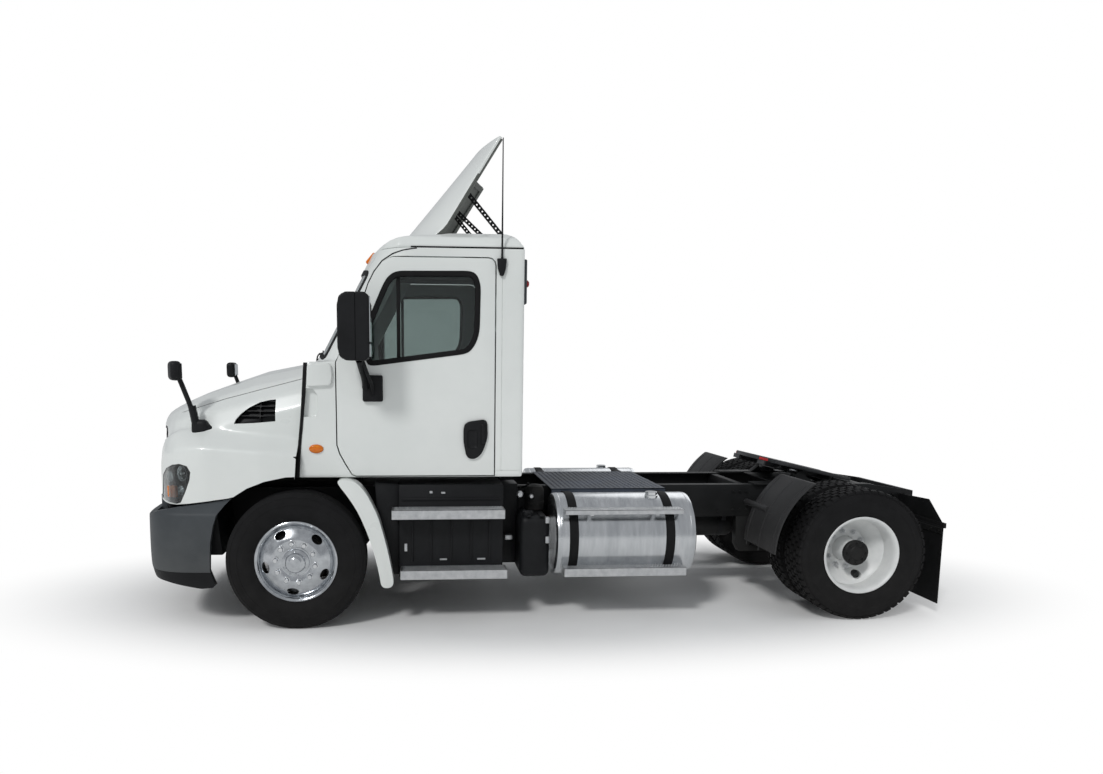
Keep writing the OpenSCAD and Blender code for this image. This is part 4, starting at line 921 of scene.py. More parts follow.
def windows():
    """Bonded windscreen and rear window, each in a black rubber surround."""

    def pane_zone(grow, round_off):
        zone = slab((-0.24, 0.06), (-0.85 - grow, 0.85 + grow), (0.07 - grow, 0.79 + grow), round_off, 4)
        bmesh.ops.transform(zone, matrix=SCREEN_SLOPE, verts=zone.verts)
        return zone

    def layer(a, b):
        return less(swept(screen_plan(a)), swept(screen_plan(b)))

    glass = within(layer(0.01, 0.018), pane_zone(-0.006, 0.045))
    rear = slab((CAB_BACK + 0.015, CAB_BACK + 0.023), (-0.475, 0.475), (2.085, 2.495), 0.002, 1)
    piece("windscreen_and_rear_glass", join(glass, rear), GLASS, "chassis", ("cab_glass",),
          angle=35)
    seal = less(within(layer(-0.004, 0.024), pane_zone(0.01, 0.055)), pane_zone(-0.022, 0.04))
    frame_seal = less(slab((CAB_BACK - 0.004, CAB_BACK + 0.03), (-0.492, 0.492), (2.068, 2.512), 0.012,
                           2), box((CAB_BACK - 0.1, CAB_BACK + 0.1), (-0.458, 0.458), (2.102, 2.478)))
    piece("screen_surrounds", join(seal, frame_seal), RUBBER, "chassis", angle=35)


def doors():
    """Each door: skin, window with its seal, inner trim and outer handle."""
    for side, name in SIDES:
        body = "door_" + name
        skin = side_shape(inset(DOOR, 0.008), (CAB_SIDE - 0.06, CAB_SIDE))
        skin = rounded(skin, 0.006, 3)
        hole = prism(window_line(0.0), "y", (CAB_SIDE - 0.1, CAB_SIDE + 0.1))
        skin = less(skin, hole)
        piece("door_skin_" + name, on_side(skin, side), PAINT, body, (body,), angle=30)
        pane = prism(window_line(0.004), "y", (1.0, 1.008))
        piece("door_window_" + name, on_side(pane, side), GLASS, body, ("door_glass_" + name,),
              angle=30)
        outer = prism(window_line(-0.016), "y", (CAB_SIDE - 0.045, CAB_SIDE + 0.003))
        inner = prism(window_line(0.022), "y", (CAB_SIDE - 0.1, CAB_SIDE + 0.1))
        seal = rounded(less(outer, inner), 0.004, 2, 50)
        bar = rounded(side_shape(((-0.735, 2.573), (-0.762, 2.573), (-0.762, 1.945), (-0.735, 1.942)),
                                 (CAB_SIDE - 0.034, CAB_SIDE - 0.012)), 0.003)
        piece("door_window_seal_" + name, on_side(join(seal, bar), side), RUBBER, body, angle=40)
        # inner trim panel, with an armrest and a grab handle
        panel = side_shape([p for p in inset(DOOR, 0.05) if p[1] < 1.93] + [(-0.345, 1.9), (-1.4, 1.9)],
                           (CAB_SIDE - 0.082, CAB_SIDE - 0.058))
        rest = slab((FRONT - 1.15, FRONT - 0.62), (CAB_SIDE - 0.115, CAB_SIDE - 0.07), (1.62, 1.69),
                    0.015, 3)
        piece("door_trim_" + name, on_side(join(rounded(panel, 0.006), rest), side), DASH, body,
              angle=35)
        # outer handle: a rounded black plate with a hollow and a pull lever
        outline = soft(((-1.244, 1.512), (-1.392, 1.532), (-1.398, 1.396), (-1.356, 1.277),
                        (-1.303, 1.234), (-1.242, 1.244), (-1.218, 1.359), (-1.218, 1.478)), 0.04)
        plate = side_shape(outline, (CAB_SIDE - 0.004, CAB_SIDE + 0.022))
        plate = rounded(plate, 0.01, 3, 50)
        scoop = clay(slab((FRONT - 1.33, FRONT - 1.24), (CAB_SIDE + 0.01, CAB_SIDE + 0.06), (1.31, 1.46),
                          0.03, 3), 0.006, 12)
        plate = less(plate, scoop)
        lever = clay(slab((FRONT - 1.38, FRONT - 1.345), (CAB_SIDE + 0.008, CAB_SIDE + 0.032),
                          (1.34, 1.5), 0.012, 3), 0.005, 6)
        piece("door_handle_" + name, on_side(join(plate, lever), side), BLACK, body,
              angle=40)


def door_mirrors():
    """Each door's mirror: case, two arms, foot and two glasses."""
    for side, name in SIDES:
        body = "door_" + name
        x0, x1, y0, y1, z0, z1 = FRONT - 0.566, FRONT - 0.34, 1.18, 1.42, 1.945, 2.41
        case = clay(prism([(x0 + 0.006, z0 + 0.03), (x0 + 0.036, z0 + 0.004), (x1 - 0.06, z0 + 0.004),
                           (x1 - 0.018, z0 + 0.03), (x1 - 0.004, z0 + 0.09), (x1 - 0.004, z1 - 0.09),
                           (x1 - 0.018, z1 - 0.03), (x1 - 0.06, z1 - 0.004), (x0 + 0.036, z1 - 0.004),
                           (x0 + 0.006, z1 - 0.03)], "y", (y0 + 0.004, y1 - 0.004)), 0.009, 4)
        groove = box((x0 + 0.098, x0 + 0.103), (y0 - 0.1, y1 + 0.1), (z0 - 0.1, z1 + 0.1))
        core = box((x0 + 0.02, x1 - 0.03), (y0 + 0.012, y1 - 0.012), (z0 + 0.015, z1 - 0.015))
        case = join(less(case, groove), rounded(core, 0.01))
        arm = tube([(FRONT - 0.51, 1.055, 1.755), (FRONT - 0.51, 1.075, 1.8), (FRONT - 0.495, 1.16, 1.88),
                    (FRONT - 0.48, 1.26, 1.955)], 0.052, 16)
        low = tube([(FRONT - 0.56, 1.055, 1.7), (FRONT - 0.56, 1.1, 1.76), (FRONT - 0.53, 1.19, 1.86),
                    (FRONT - 0.5, 1.24, 1.955)], 0.026, 12)
        foot = slab((FRONT - 0.633, FRONT - 0.487), (CAB_SIDE - 0.001, CAB_SIDE + 0.035), (1.657, 1.848),
                    0.014, 3)
        bolts = [turned([(0.0, 0.0), (0.009, 0.0), (0.009, 0.006), (0.0, 0.008)],
                        (FRONT + x, CAB_SIDE + 0.034, z), steps=6) for x,
                 z in ((-0.61, 1.68), (-0.51, 1.68), (-0.61, 1.825), (-0.51, 1.825))]
        piece("door_mirror_case_" + name, on_side(join(case, arm, low, foot, *bolts), side), BLACK, body,
              ("door_mirror_" + name,), angle=40)
        glass = slab((x0, x0 + 0.008), (y0 + 0.025, y1 - 0.025), (z0 + 0.13, z1 - 0.03), 0.002, 1)
        wide = slab((x0, x0 + 0.008), (y0 + 0.025, y1 - 0.025), (z0 + 0.03, z0 + 0.115), 0.002, 1)
        piece("door_mirror_glass_" + name, on_side(join(glass, wide), side), MIRROR, body)


# ---------- wheels ----------

TYRE_HALF = 0.1375
RIM_HALF = 0.1115
BOLT_RING = 0.1429
# How far out each wheel stands, and half the distance between the twin rear wheels' middles
STEER_Y = 1.0525
DRIVE_Y = 0.8995
TWIN_OFFSET = 0.168


def tyre_carcass(grooved):
    """A tyre round the Y axis at the origin, its outer side towards +Y: sidewalls, shoulders and tread."""
    w = TYRE_HALF
    side = [(0.2855, w - 0.032), (0.2995, w - 0.024), (0.312, w - 0.019), (0.316, w - 0.0165),
            (0.3455, w - 0.005), (0.372, w - 0.001), (0.3955, w - 0.0005), (0.416, w - 0.002),
            (0.418, w - 0.0004), (0.426, w - 0.0008), (0.428, w - 0.003), (0.451, w - 0.006),
            (0.47, w - 0.011), (0.473, w - 0.009), (0.484, w - 0.018), (0.4965, w - 0.03)]
    if grooved:
        tread = [(0.503, 0.1), (0.5045, 0.0775), (0.4905, 0.0745), (0.4905, 0.0675), (0.5052, 0.0645),
                 (0.5058, 0.0275), (0.4905, 0.025), (0.4905, 0.018), (0.506, 0.0155)]
    else:
        tread = [(0.4925, 0.1), (0.4935, 0.06), (0.494, 0.02)]
    half = side + tread
    profile = half + [(r, -a) for r, a in reversed(half)]
    return turned(profile, steps=96)


def tread_blocks():
    """Five rows of drive-tyre blocks; the shoulder rows reach down the tyre's side."""
    rows = []
    count = 50
    for middle, wide, twist, shift in ((0.107, 0.046, 0.1, 0.0), (0.056, 0.04, -0.16, 0.5),
                                       (0.0, 0.044, 0.0, 0.0), (-0.056, 0.04, 0.16, 0.5),
                                       (-0.107, 0.046, -0.1, 0.0)):
        one = box((-0.024, 0.024), (-wide / 2, wide / 2), (0.48, 0.505))
        for v in one.verts:
            far = abs(middle) > 0.1 and v.co.y * middle > 0
            if v.co.z > 0.49:
                v.co.x *= 0.9
                v.co.y *= 0.93
                v.co.z -= 0.007 if far else 0.0
            v.co.x += v.co.y * twist
            v.co.y += middle
            if far:
                v.co.y -= 0.003 * (1 if middle > 0 else -1)
        for i in range(count):
            rows.append(copy_of(one, Matrix.Rotation(2 * math.pi * (i + shift) / count, 4, "Y")))
        one.free()
    return join(*rows)


def barrel(half):
    """The rim's barrel, with its bead seats, drop centre and flanges."""
    return turned([(0.2715, -half), (0.264, -half + 0.03), (0.262, 0.0), (0.264, half - 0.03),
                   (0.2715, half - 0.006), (0.279, half + 0.002), (0.285, half + 0.007),
                   (0.2935, half + 0.0095), (0.2975, half + 0.007), (0.2972, half + 0.003),
                   (0.285, half - 0.004), (0.2848, -half + 0.004), (0.2972, -half - 0.003),
                   (0.2975, -half - 0.007), (0.2935, -half - 0.0095)], steps=96)


def hand_holes(wide, tall, span, out, count=5, turn=0.4):
    """Oval cutters set round the disc."""
    made = []
    for i in range(count):
        oval = prism([(wide * math.cos(t * math.pi / 12),
                       out + tall * math.sin(t * math.pi / 12)) for t in range(24)], "y", span)
        made.append(copy_of(oval, Matrix.Rotation(2 * math.pi * (i + turn) / count, 4, "Y")))
        oval.free()
    return made


def ring_of(one, count, radius, turn=0.0):
    """Copies of a small piece, set round the wheel's axis."""
    made = [copy_of(one, Matrix.Rotation(2 * math.pi * (i + turn) / count, 4, "Y") @ at(0, 0, radius))
            for i in range(count)]
    one.free()
    return join(*made)


def hexagon_cap(radius, low, high, flange=0.0):
    """A hexagonal nut or nut cover with a rounded crown."""
    body = turned([(0.0, low), (radius, low), (radius, high - 0.006), (radius * 0.8, high - 0.001),
                   (0.0, high)], steps=6)
    if not flange:
        return body
    return join(body, turned([(0.0, low - 0.001), (flange, low - 0.001), (flange * 0.94, low + 0.005),
                              (0.0, low + 0.007)], steps=24))


def front_wheel_metal():
    """The steered wheel's disc and rim barrel."""
    disc = turned([(0.08, 0.118), (0.16, 0.118), (0.2, 0.098), (0.2315, 0.08), (0.248, 0.058),
                   (0.2555, 0.046), (0.273, 0.04), (0.273, 0.064), (0.2655, 0.078), (0.256, 0.09),
                   (0.2375, 0.104), (0.21, 0.1195), (0.185, 0.132), (0.174, 0.1365), (0.164, 0.138),
                   (0.118, 0.138), (0.112, 0.134), (0.105, 0.1325), (0.08, 0.1325)], steps=120)
    disc = less(disc, *hand_holes(0.044, 0.028, (0.0, 0.2), 0.222))
    return rounded(disc, 0.0015, 2, 50), barrel(RIM_HALF)


def rear_wheel_metal():
    """A driven wheel's dished disc."""
    disc = turned([(0.1, 0.0), (0.168, 0.0), (0.2, 0.034), (0.2415, 0.08), (0.2575, 0.102),
                   (0.273, 0.108), (0.273, 0.134), (0.26, 0.131), (0.248, 0.122), (0.2275, 0.102),
                   (0.195, 0.062), (0.172, 0.034), (0.166, 0.024), (0.156, 0.02), (0.1, 0.02)], steps=120)
    disc = less(disc, *hand_holes(0.036, 0.03, (-0.02, 0.2), 0.212, 2, 0.117))
    return rounded(disc, 0.0015, 2, 50)


def wheels():
    """Both steered wheels and both pairs of driven wheels, with hubs, drums and nuts."""
    steer, drive, blocks = tyre_carcass(True), tyre_carcass(False), tread_blocks()
    front_disc, front_barrel = front_wheel_metal()
    rear_disc, rear_barrel = rear_wheel_metal(), barrel(RIM_HALF)
    nuts = ring_of(hexagon_cap(0.0195, 0.138, 0.176, 0.024), 10, BOLT_RING, 0.25)
    hub = join(turned([(0.0, 0.128), (0.092, 0.128), (0.098, 0.134), (0.096, 0.142), (0.084, 0.146),
                       (0.074, 0.15), (0.07, 0.166), (0.064, 0.172), (0.046, 0.1735), (0.04, 0.1775),
                       (0.022, 0.178), (0.0, 0.1765)], steps=64),
               ring_of(hexagon_cap(0.006, 0.146, 0.154), 6, 0.08))
    front_drum = turned([(0.035, -0.04), (0.08, -0.04), (0.08, 0.04), (0.2, 0.04), (0.2, -0.055),
                         (0.212, -0.055), (0.212, 0.048), (0.204, 0.062), (0.085, 0.062), (0.085, 0.128),
                         (0.035, 0.128)], steps=72)
    ribs = [turned([(0.211, a), (0.216, a + 0.002), (0.216, a + 0.008), (0.211, a + 0.01)],
                   steps=72) for a in (-0.05, -0.02, 0.01, 0.04)]
    front_drum = join(front_drum, *ribs)
    rear_drum = turned([(0.051, -0.06), (0.1, -0.06), (0.1, -0.05), (0.208, -0.05), (0.208, -0.23),
                        (0.222, -0.23), (0.224, -0.215), (0.222, -0.19), (0.222, -0.04), (0.214, -0.028),
                        (0.102, -0.028), (0.102, -0.021), (0.051, -0.021)], steps=72)
    rear_hub = turned([(0.0, -0.018), (0.0975, -0.018), (0.0975, 0.03), (0.09, 0.046), (0.088, 0.172),
                       (0.0, 0.172)], steps=64)
    shaft_end = join(turned([(0.0, 0.174), (0.0975, 0.174), (0.0975, 0.203), (0.089, 0.21),
                             (0.058, 0.212), (0.05, 0.219), (0.034, 0.221), (0.0, 0.221)], steps=64),
                     ring_of(hexagon_cap(0.0085, 0.208, 0.22), 8, 0.074))
    rear_nuts = ring_of(hexagon_cap(0.0165, 0.02, 0.05, 0.024), 10, BOLT_RING, 0.25)
    studs = ring_of(hexagon_cap(0.0085, 0.045, 0.064), 10, BOLT_RING, 0.25)

    for side, name in SIDES:
        def put(bm, x, y):
            place = at(x, side * y, HUB_Z)
            if side < 0:
                place = place @ MIRRORED
            return copy_of(bm, place)
        body, y = "front_wheel_" + name, STEER_Y
        piece("steer_tyre_" + name, put(steer, FRONT, y), TYRE, body, ("front_tyre_" + name,),
              angle=28)
        # the steered wheel's aluminium is darkened by a painted reflection of dark surroundings
        metal = join(put(front_disc, FRONT, y), put(front_barrel, FRONT, y))
        piece("steer_wheel_disc_" + name, metal, POLISHED_WITH_PAINTED_REFLECTION, body, ("front_rim_" + name,),
              angle=35)
        piece("steer_wheel_nut_covers_" + name, put(nuts, FRONT, y), CHROME, body, angle=35)
        piece("steer_hub_cap_" + name, put(hub, FRONT, y), POLISHED_WITH_PAINTED_REFLECTION, body, angle=30)
        piece("steer_brake_drum_" + name, put(front_drum, FRONT, y), CAST, body, angle=30)
        body, y = "rear_wheels_" + name, DRIVE_Y
        tyres = []
        for off, turn in ((TWIN_OFFSET, 0.0), (-TWIN_OFFSET, 0.055)):
            spun = Matrix.Rotation(turn, 4, "Y")
            whole = copy_of(join(drive.copy(), blocks.copy()), at(0, off, 0) @ spun)
            tyres.append(put(whole, REAR, y))
            whole.free()
        piece("drive_tyres_" + name, join(*tyres), TYRE, body, ("rear_tyres_" + name,), angle=28)
        outer = join(copy_of(rear_barrel, at(0, TWIN_OFFSET, 0)), rear_disc.copy())
        inner = copy_of(outer, MIRRORED)
        both = join(outer, inner)
        piece("drive_wheel_discs_" + name, put(both, REAR, y), WHEEL_WHITE, body,
              ("rear_rims_" + name,), angle=35)
        both.free()
        piece("drive_hub_" + name, put(rear_hub, REAR, y), WHEEL_WHITE, body, angle=32)
        piece("drive_shaft_end_" + name, put(shaft_end, REAR, y), CHASSIS, body, angle=32)
        piece("drive_brake_drum_" + name, put(rear_drum, REAR, y), CAST, body, angle=32)
        piece("drive_wheel_nuts_" + name, join(put(rear_nuts, REAR, y), put(studs, REAR, y)), STEP, body,
              angle=32)
    for spare in (steer, drive, blocks, front_disc, front_barrel, rear_disc, rear_barrel, nuts, hub,
                  front_drum, rear_drum, rear_hub, shaft_end, rear_nuts, studs):
        spare.free()


# ---------- chassis ----------

def bolt(x, y, z, way="y", radius=0.011, high=0.012):
    """A hexagon bolt head whose crown points along a way."""
    head = turned([(0.0, 0.0), (radius, 0.0), (radius, high * 0.8), (radius * 0.8, high), (0.0, high)],
                  steps=6)
    turns = {"y": Matrix.Identity(4), "-y": Matrix.Rotation(math.pi, 4, "Z"),
             "z": Matrix.Rotation(math.pi / 2, 4, "X"), "x": Matrix.Rotation(-math.pi / 2, 4, "Z"),
             "-x": Matrix.Rotation(math.pi / 2, 4, "Z")}
    made = copy_of(head, at(x, y, z) @ turns[way])
    head.free()
    return made


def plain_steel():
    """CAD pieces whose shapes are right: their edges are rounded as rolled, cast or forged steel is."""
    table = (("frame_rail_left", CHASSIS, 0.004, "chassis", "chassis"),
             ("frame_rail_right", CHASSIS, 0.004, "chassis", "chassis"),
             ("frame_crossmembers", CHASSIS, 0.005, "chassis", "chassis"),
             ("driveshaft", CAST, 0.006, "chassis", "driveline"),
             ("front_axle_beam", CAST, 0.01, "chassis", "axle"),
             ("front_springs", CAST, 0.005, "chassis", "axle"),
             ("rear_axle_housing", CAST, 0.008, "chassis", "axle"),
             ("rear_suspension", CHASSIS, 0.006, "chassis", "axle"),
             ("knuckle_left", CAST, 0.005, "knuckle_left", "axle"),
             ("knuckle_right", CAST, 0.005, "knuckle_right", "axle"),
             ("tie_rod", CAST, 0.002, "tie_rod", "axle"),
             ("fifth_wheel_base", CHASSIS, 0.004, "chassis", "chassis"))
    slope = prism([(REAR - 0.42, 0.952), (REAR - 0.88, 0.886), (REAR - 0.88, 1.0), (REAR - 0.42, 1.0)],
                  "y", (-0.6, 0.6))
    for node, finish, width, body, slot in table:
        shape = copy_node(node)
        if node.startswith("frame_"):
            shape = less(shape, copy_of(slope))
        piece(node + "_shaped", rounded(shape, width), finish, body, (node,), angle=32)
    slope.free()


def chassis_fittings():
    """Bolt heads, tail lamps, air bellows and air reservoirs."""
    rng = random.Random(4)
    heads = []
    for side in (1, -1):
        way = "y" if side > 0 else "-y"
        for x0 in (-3.08, -2.72, -1.69, -1.02, -0.36, 0.46, 1.2, 2.55):
            for i in range(3):
                for z in (0.74, 0.86 if x0 < -3 else 0.89):
                    heads.append(bolt(x0 + i * 0.055, side * RAIL_SIDE, z, way))
        for x in (-1.9, -1.45, -0.8, 0.0, 0.75):
            heads.append(bolt(x + rng.uniform(-0.02, 0.02), side * RAIL_SIDE, 0.72 + rng.uniform(0, 0.02),
                              way))
    piece("frame_bolts", join(*heads), CHASSIS, "chassis", angle=30)

    # tail lamps on the closing crossmember, each with a rubber ring round its lens
    plates, lenses = [], []
    for y in (-0.3, -0.17, 0.17, 0.3):
        plates.append(turned([(0.0, 0.0), (0.058, 0.0), (0.058, -0.018), (0.05, -0.024), (0.0, -0.024)],
                             (REAR - 0.82, y, 0.8), "x", 32))
        lenses.append(turned([(0.0, -0.02), (0.048, -0.02), (0.046, -0.03), (0.03, -0.036),
                              (0.0, -0.038)], (REAR - 0.82, y, 0.8), "x", 32))
    piece("tail_lamp_rings", join(*plates), RUBBER, "chassis", angle=35)
    piece("tail_lamps", join(*lenses), RED, "chassis", angle=35)

    # air bellows of the rear suspension
    bags = []
    for side in (1, -1):
        outline = [(0.0, 0.432), (0.088, 0.432), (0.094, 0.44), (0.098, 0.462), (0.114, 0.474),
                   (0.119, 0.5), (0.116, 0.522), (0.101, 0.536), (0.101, 0.544), (0.116, 0.558),
                   (0.119, 0.584), (0.114, 0.612), (0.098, 0.63), (0.088, 0.666), (0.0, 0.666)]
        bags.append(turned(outline, (REAR - 0.34, side * 0.3925, 0.0), "z", 48))
    piece("air_bellows", join(*bags), RUBBER, "chassis", angle=30)

    # air reservoirs under the rails, hung in straps
    reservoirs, straps = [], []
    for x, y in ((-1.35, 0.23), (-1.35, -0.23)):
        reservoirs.append(turned([(0.0, -0.3), (0.06, -0.292), (0.092, -0.27), (0.104, -0.235),
                                  (0.104, 0.235), (0.092, 0.27), (0.06, 0.292), (0.0, 0.3)],
                                 (x, y, 0.585), "x", 40))
        for off in (-0.17, 0.17):
            straps.append(turned([(0.1035, off - 0.018), (0.107, off - 0.018), (0.107, off + 0.018),
                                  (0.1035, off + 0.018)], (x, y, 0.585), "x", 40))
            out = 1 if y > 0 else -1
            straps.append(box((x + off - 0.018, x + off + 0.018),
                              sorted((y + out * 0.085, y + out * 0.165)), (0.64, 0.682)))
    piece("air_reservoirs", join(*reservoirs), CHASSIS, "chassis", angle=35)
    piece("air_reservoir_straps", join(*straps), BLACK, "chassis", angle=35)


def battery_box_details():
    """The boxes under the cab with lid seam, ribs and latches, the fluid tank with an air dryer
    over it, and a work lamp on the cab's back."""
    boxes = rounded(only_parts(copy_node("side_boxes"), lambda p: p.x > FRONT - 1.6), 0.012)
    piece("battery_and_tool_boxes", boxes, BLACK, "chassis", ("side_boxes",), angle=32)
    x0, x1 = FRONT - 1.885, FRONT - 1.655
    tank = clay(slab((x0, x1), (0.56, 0.98), (0.315, 0.79), 0.05, 4), 0.012, 6)
    plate = slab((x0 + 0.02, x1 - 0.02), (RAIL_SIDE, 0.575), (0.42, 0.9), 0.006)
    straps = [slab((x0 + 0.05, x0 + 0.08), (0.45, 0.985), (0.788, 0.796), 0.002, 1),
              slab((x1 - 0.08, x1 - 0.05), (0.45, 0.985), (0.788, 0.796), 0.002, 1)]
    cap = turned([(0.0, 0.785), (0.042, 0.785), (0.044, 0.795), (0.044, 0.815), (0.038, 0.822),
                  (0.0, 0.822)], (FRONT - 1.72, 0.9, 0.0), "z", 24)
    dryer = turned([(0.0, 0.8), (0.066, 0.8), (0.072, 0.812), (0.072, 0.96), (0.06, 0.985), (0.03, 1.0),
                    (0.0, 1.002)], (FRONT - 1.8, 0.7, 0.0), "z", 40)
    piece("fluid_tank", join(tank, plate, *straps, cap), BLACK, "chassis", angle=35)
    ring = turned([(0.0725, 0.85), (0.0765, 0.852), (0.0765, 0.868), (0.0725, 0.87)],
                  (FRONT - 1.8, 0.7, 0.0), "z", 40)
    piece("air_dryer", join(dryer, ring), CAST, "chassis", angle=32)
    lines = []
    for n, (y, low) in enumerate(((0.6, 0.83), (0.63, 0.86), (0.66, 0.9))):
        lines.append(tube([(FRONT - 1.62 + 0.02 * n, 0.4, low + 0.06), (FRONT - 1.68, 0.5, low + 0.05),
                           (FRONT - 1.735, y, low + 0.08), (FRONT - 1.76, y + 0.02, 1.0)], 0.014, 8))
    piece("air_lines", join(*lines), RUBBER, "chassis", angle=60)
    dark, bright = [], []
    for side in (1, -1):
        for x in (FRONT - 1.42, FRONT - 1.28, FRONT - 1.13, FRONT - 0.98, FRONT - 0.84):
            dark.append(slab((x - 0.008, x + 0.008), to_side(side, 0.998, 1.008), (0.46, 0.78), 0.003))
        dark.append(slab((FRONT - 1.5, FRONT - 0.76), to_side(side, 0.998, 1.012), (0.925, 0.945), 0.004))
        dark.append(slab((FRONT - 1.67, FRONT - 1.505), to_side(side, RAIL_SIDE, 0.66), (0.36, 1.0),
                         0.01))
        dark.append(rounded(side_shape(((-0.6, 0.35), (-0.745, 0.35), (-0.745, 1.04), (-0.56, 1.06),
                                        (-0.585, 0.7)), to_side(side, 0.5, 0.96)), 0.012))
        dark.append(rounded(side_shape(((0.56, 0.515), (0.69, 0.515), (0.74, 0.8), (0.6, 0.87)),
                                       to_side(side, 0.45, 0.96)), 0.012))
        for x, z, wide, tall in ((-0.98, 0.985, 0.012, 0.01), (-1.07, 0.98, 0.016, 0.008),
                                 (-0.79, 0.567, 0.012, 0.03), (-1.071, 0.474, 0.028, 0.007),
                                 (-1.357, 0.474, 0.032, 0.007)):
            bright.append(slab((FRONT + x - wide, FRONT + x + wide), to_side(side, 0.998, 1.006),
                               (z - tall, z + tall), 0.003, 1))
    for x, z, wide, tall in ((-1.59, 0.59, 0.03, 0.018), (-1.862, 0.76, 0.016, 0.022),
                             (-1.862, 0.61, 0.014, 0.026)):
        side_y = 0.72 if x > -1.6 else 0.93
        bright.append(slab((FRONT + x - wide, FRONT + x + wide), (side_y, side_y + 0.058),
                           (z - tall, z + tall), 0.004))
    for x, z, r in ((-1.675, 0.93, 0.026), (-1.765, 0.915, 0.018)):
        bright.append(turned([(0.0, 0.0), (r, 0.0), (r, 0.02), (r * 0.7, 0.03), (0.0, 0.03)],
                             (FRONT + x, 0.76, z), steps=16))
    piece("box_lids_and_ribs", join(*dark), BLACK, "chassis", angle=35)
    piece("box_fittings", join(*bright), STEP, "chassis", angle=35)
    case = slab((CAB_BACK - 0.026, CAB_BACK + 0.002), (0.84, 0.96), (2.37, 2.69), 0.01, 3)
    lens = turned([(0.0, 0.0), (0.024, 0.0), (0.026, -0.012), (0.016, -0.022), (0.0, -0.024)],
                  (CAB_BACK - 0.025, 0.9, 2.52), "x", 24)
    piece("cab_back_plate", case, BUMPER, "chassis", angle=35)
    piece("cab_back_lamp", lens, RED, "chassis", angle=35)


def cab_steps():
    """Aluminium steps: a folded tread with rows of raised teeth, and a plain riser in front."""
    plates, teeth = [], []
    tooth = bmesh.new()
    bmesh.ops.create_cone(tooth, cap_ends=False, segments=4, radius1=0.0062, radius2=0.0026, depth=0.005)
    spans = ((FRONT - 1.52, FRONT - 0.69, 1.0, 1.15, 0.805, 0.88),
             (FRONT - 1.54, FRONT - 0.75, 1.0, 1.15, 0.355, 0.43))
    tank = ((FRONT - 2.865, FRONT - 1.97, 0.992, 1.15, 0.83, 0.87),
            (FRONT - 2.9, FRONT - 1.97, 0.992, 1.15, 0.36, 0.43))
    for x0, x1, y0, y1, z0, z1 in spans + tank:
        top = z1 - 0.005
        tread = slab((x0, x1), (y0, y1), (top - 0.006, top), 0.002, 1)
        riser = slab((x0, x1), (y1 - 0.006, y1), (z0, top), 0.002, 1)
        ends = [slab((a, a + 0.006), (y0, y1 - 0.002), (z0 + 0.004, top - 0.001), 0.002, 1)
                for a in (x0, x1 - 0.006)]
        brace = [slab((x - 0.015, x + 0.015), (0.9 if z0 > 0.8 or z0 < 0.36 else 0.86, y1 - 0.003),
                      (top - 0.045, top - 0.005), 0.002, 1) for x in (x0 + 0.2, x1 - 0.2)]
        plates += [tread, riser, *ends, *brace]
        for i in range(int((x1 - x0 - 0.02) / 0.021)):
            for j in range(6):
                x = x0 + 0.018 + i * 0.021 + (0.0105 if j % 2 else 0.0)
                if x < x1 - 0.008:
                    teeth.append(copy_of(tooth, at(x, y0 + 0.014 + j * 0.0245, top + 0.0023)))
    tooth.free()
    outer = both_sides(join(*plates))
    piece("aluminium_steps", outer, STEP, "chassis", ("cab_steps",), angle=35)
    piece("step_teeth", both_sides(join(*teeth)), STEP, "chassis", angle=60)


def tanks():
    """The two fuel tanks with their straps, brackets and filler caps."""
    shells, bands, caps = [], [], []
    x0, length, y, z = FRONT - 2.985, 1.07, 0.8025, 0.625
    outline = [(0.0, 0.014), (0.15, 0.012), (0.235, 0.006), (0.285, 0.0), (0.302, 0.002), (0.3135, 0.01),
               (0.3185, 0.022), (0.3195, 0.034), (0.3195, length - 0.034), (0.3185, length - 0.022),
               (0.3135, length - 0.01), (0.302, length - 0.002), (0.285, length), (0.235, length - 0.006),
               (0.15, length - 0.012), (0.0, length - 0.014)]
    shells.append(turned(outline, (x0, y, z), "x", 128))
    for a in (0.04, length - 0.04):
        shells.append(turned([(0.3185, a - 0.006), (0.3205, a - 0.002), (0.3205, a + 0.002),
                              (0.3185, a + 0.006)], (x0, y, z), "x", 128))
    for x in (FRONT - 2.045, FRONT - 2.78):
        bands.append(turned([(0.319, -0.034), (0.3225, -0.034), (0.3225, -0.03), (0.326, -0.027),
                             (0.326, 0.027), (0.3225, 0.03), (0.3225, 0.034), (0.319, 0.034)], (x, y, z),
                            "x", 128))
        arm = box((x - 0.032, x + 0.032), (RAIL_SIDE, y), (0.62, 0.94))
        core = turned([(0.0, -0.1), (0.32, -0.1), (0.32, 0.1), (0.0, 0.1)], (x, y, z), "x", 128)
        bands.append(rounded(less(arm, core), 0.004))
        for zz in (0.7, 0.86):
            bands.append(bolt(x - 0.032, 0.47, zz, "-x"))
    neck = turned([(0.0, 0.905), (0.052, 0.905), (0.052, 0.935), (0.046, 0.94), (0.0, 0.94)],
                  (x0 + 0.3, y + 0.08, 0.0), "z", 48)
    lid = turned([(0.0, 0.938), (0.043, 0.938), (0.0455, 0.941), (0.0455, 0.96), (0.042, 0.964),
                  (0.0, 0.964)], (x0 + 0.3, y + 0.08, 0.0), "z", 20)
    caps += [neck, lid]
    piece("fuel_tank_shells", both_sides(join(*shells)), TANK, "chassis",
          ("fuel_tanks",), angle=32)
    piece("fuel_tank_straps", both_sides(join(*bands)), RUBBER, "chassis", angle=35)
    piece("fuel_filler_caps", both_sides(join(*caps)), CHROME, "chassis", angle=35)


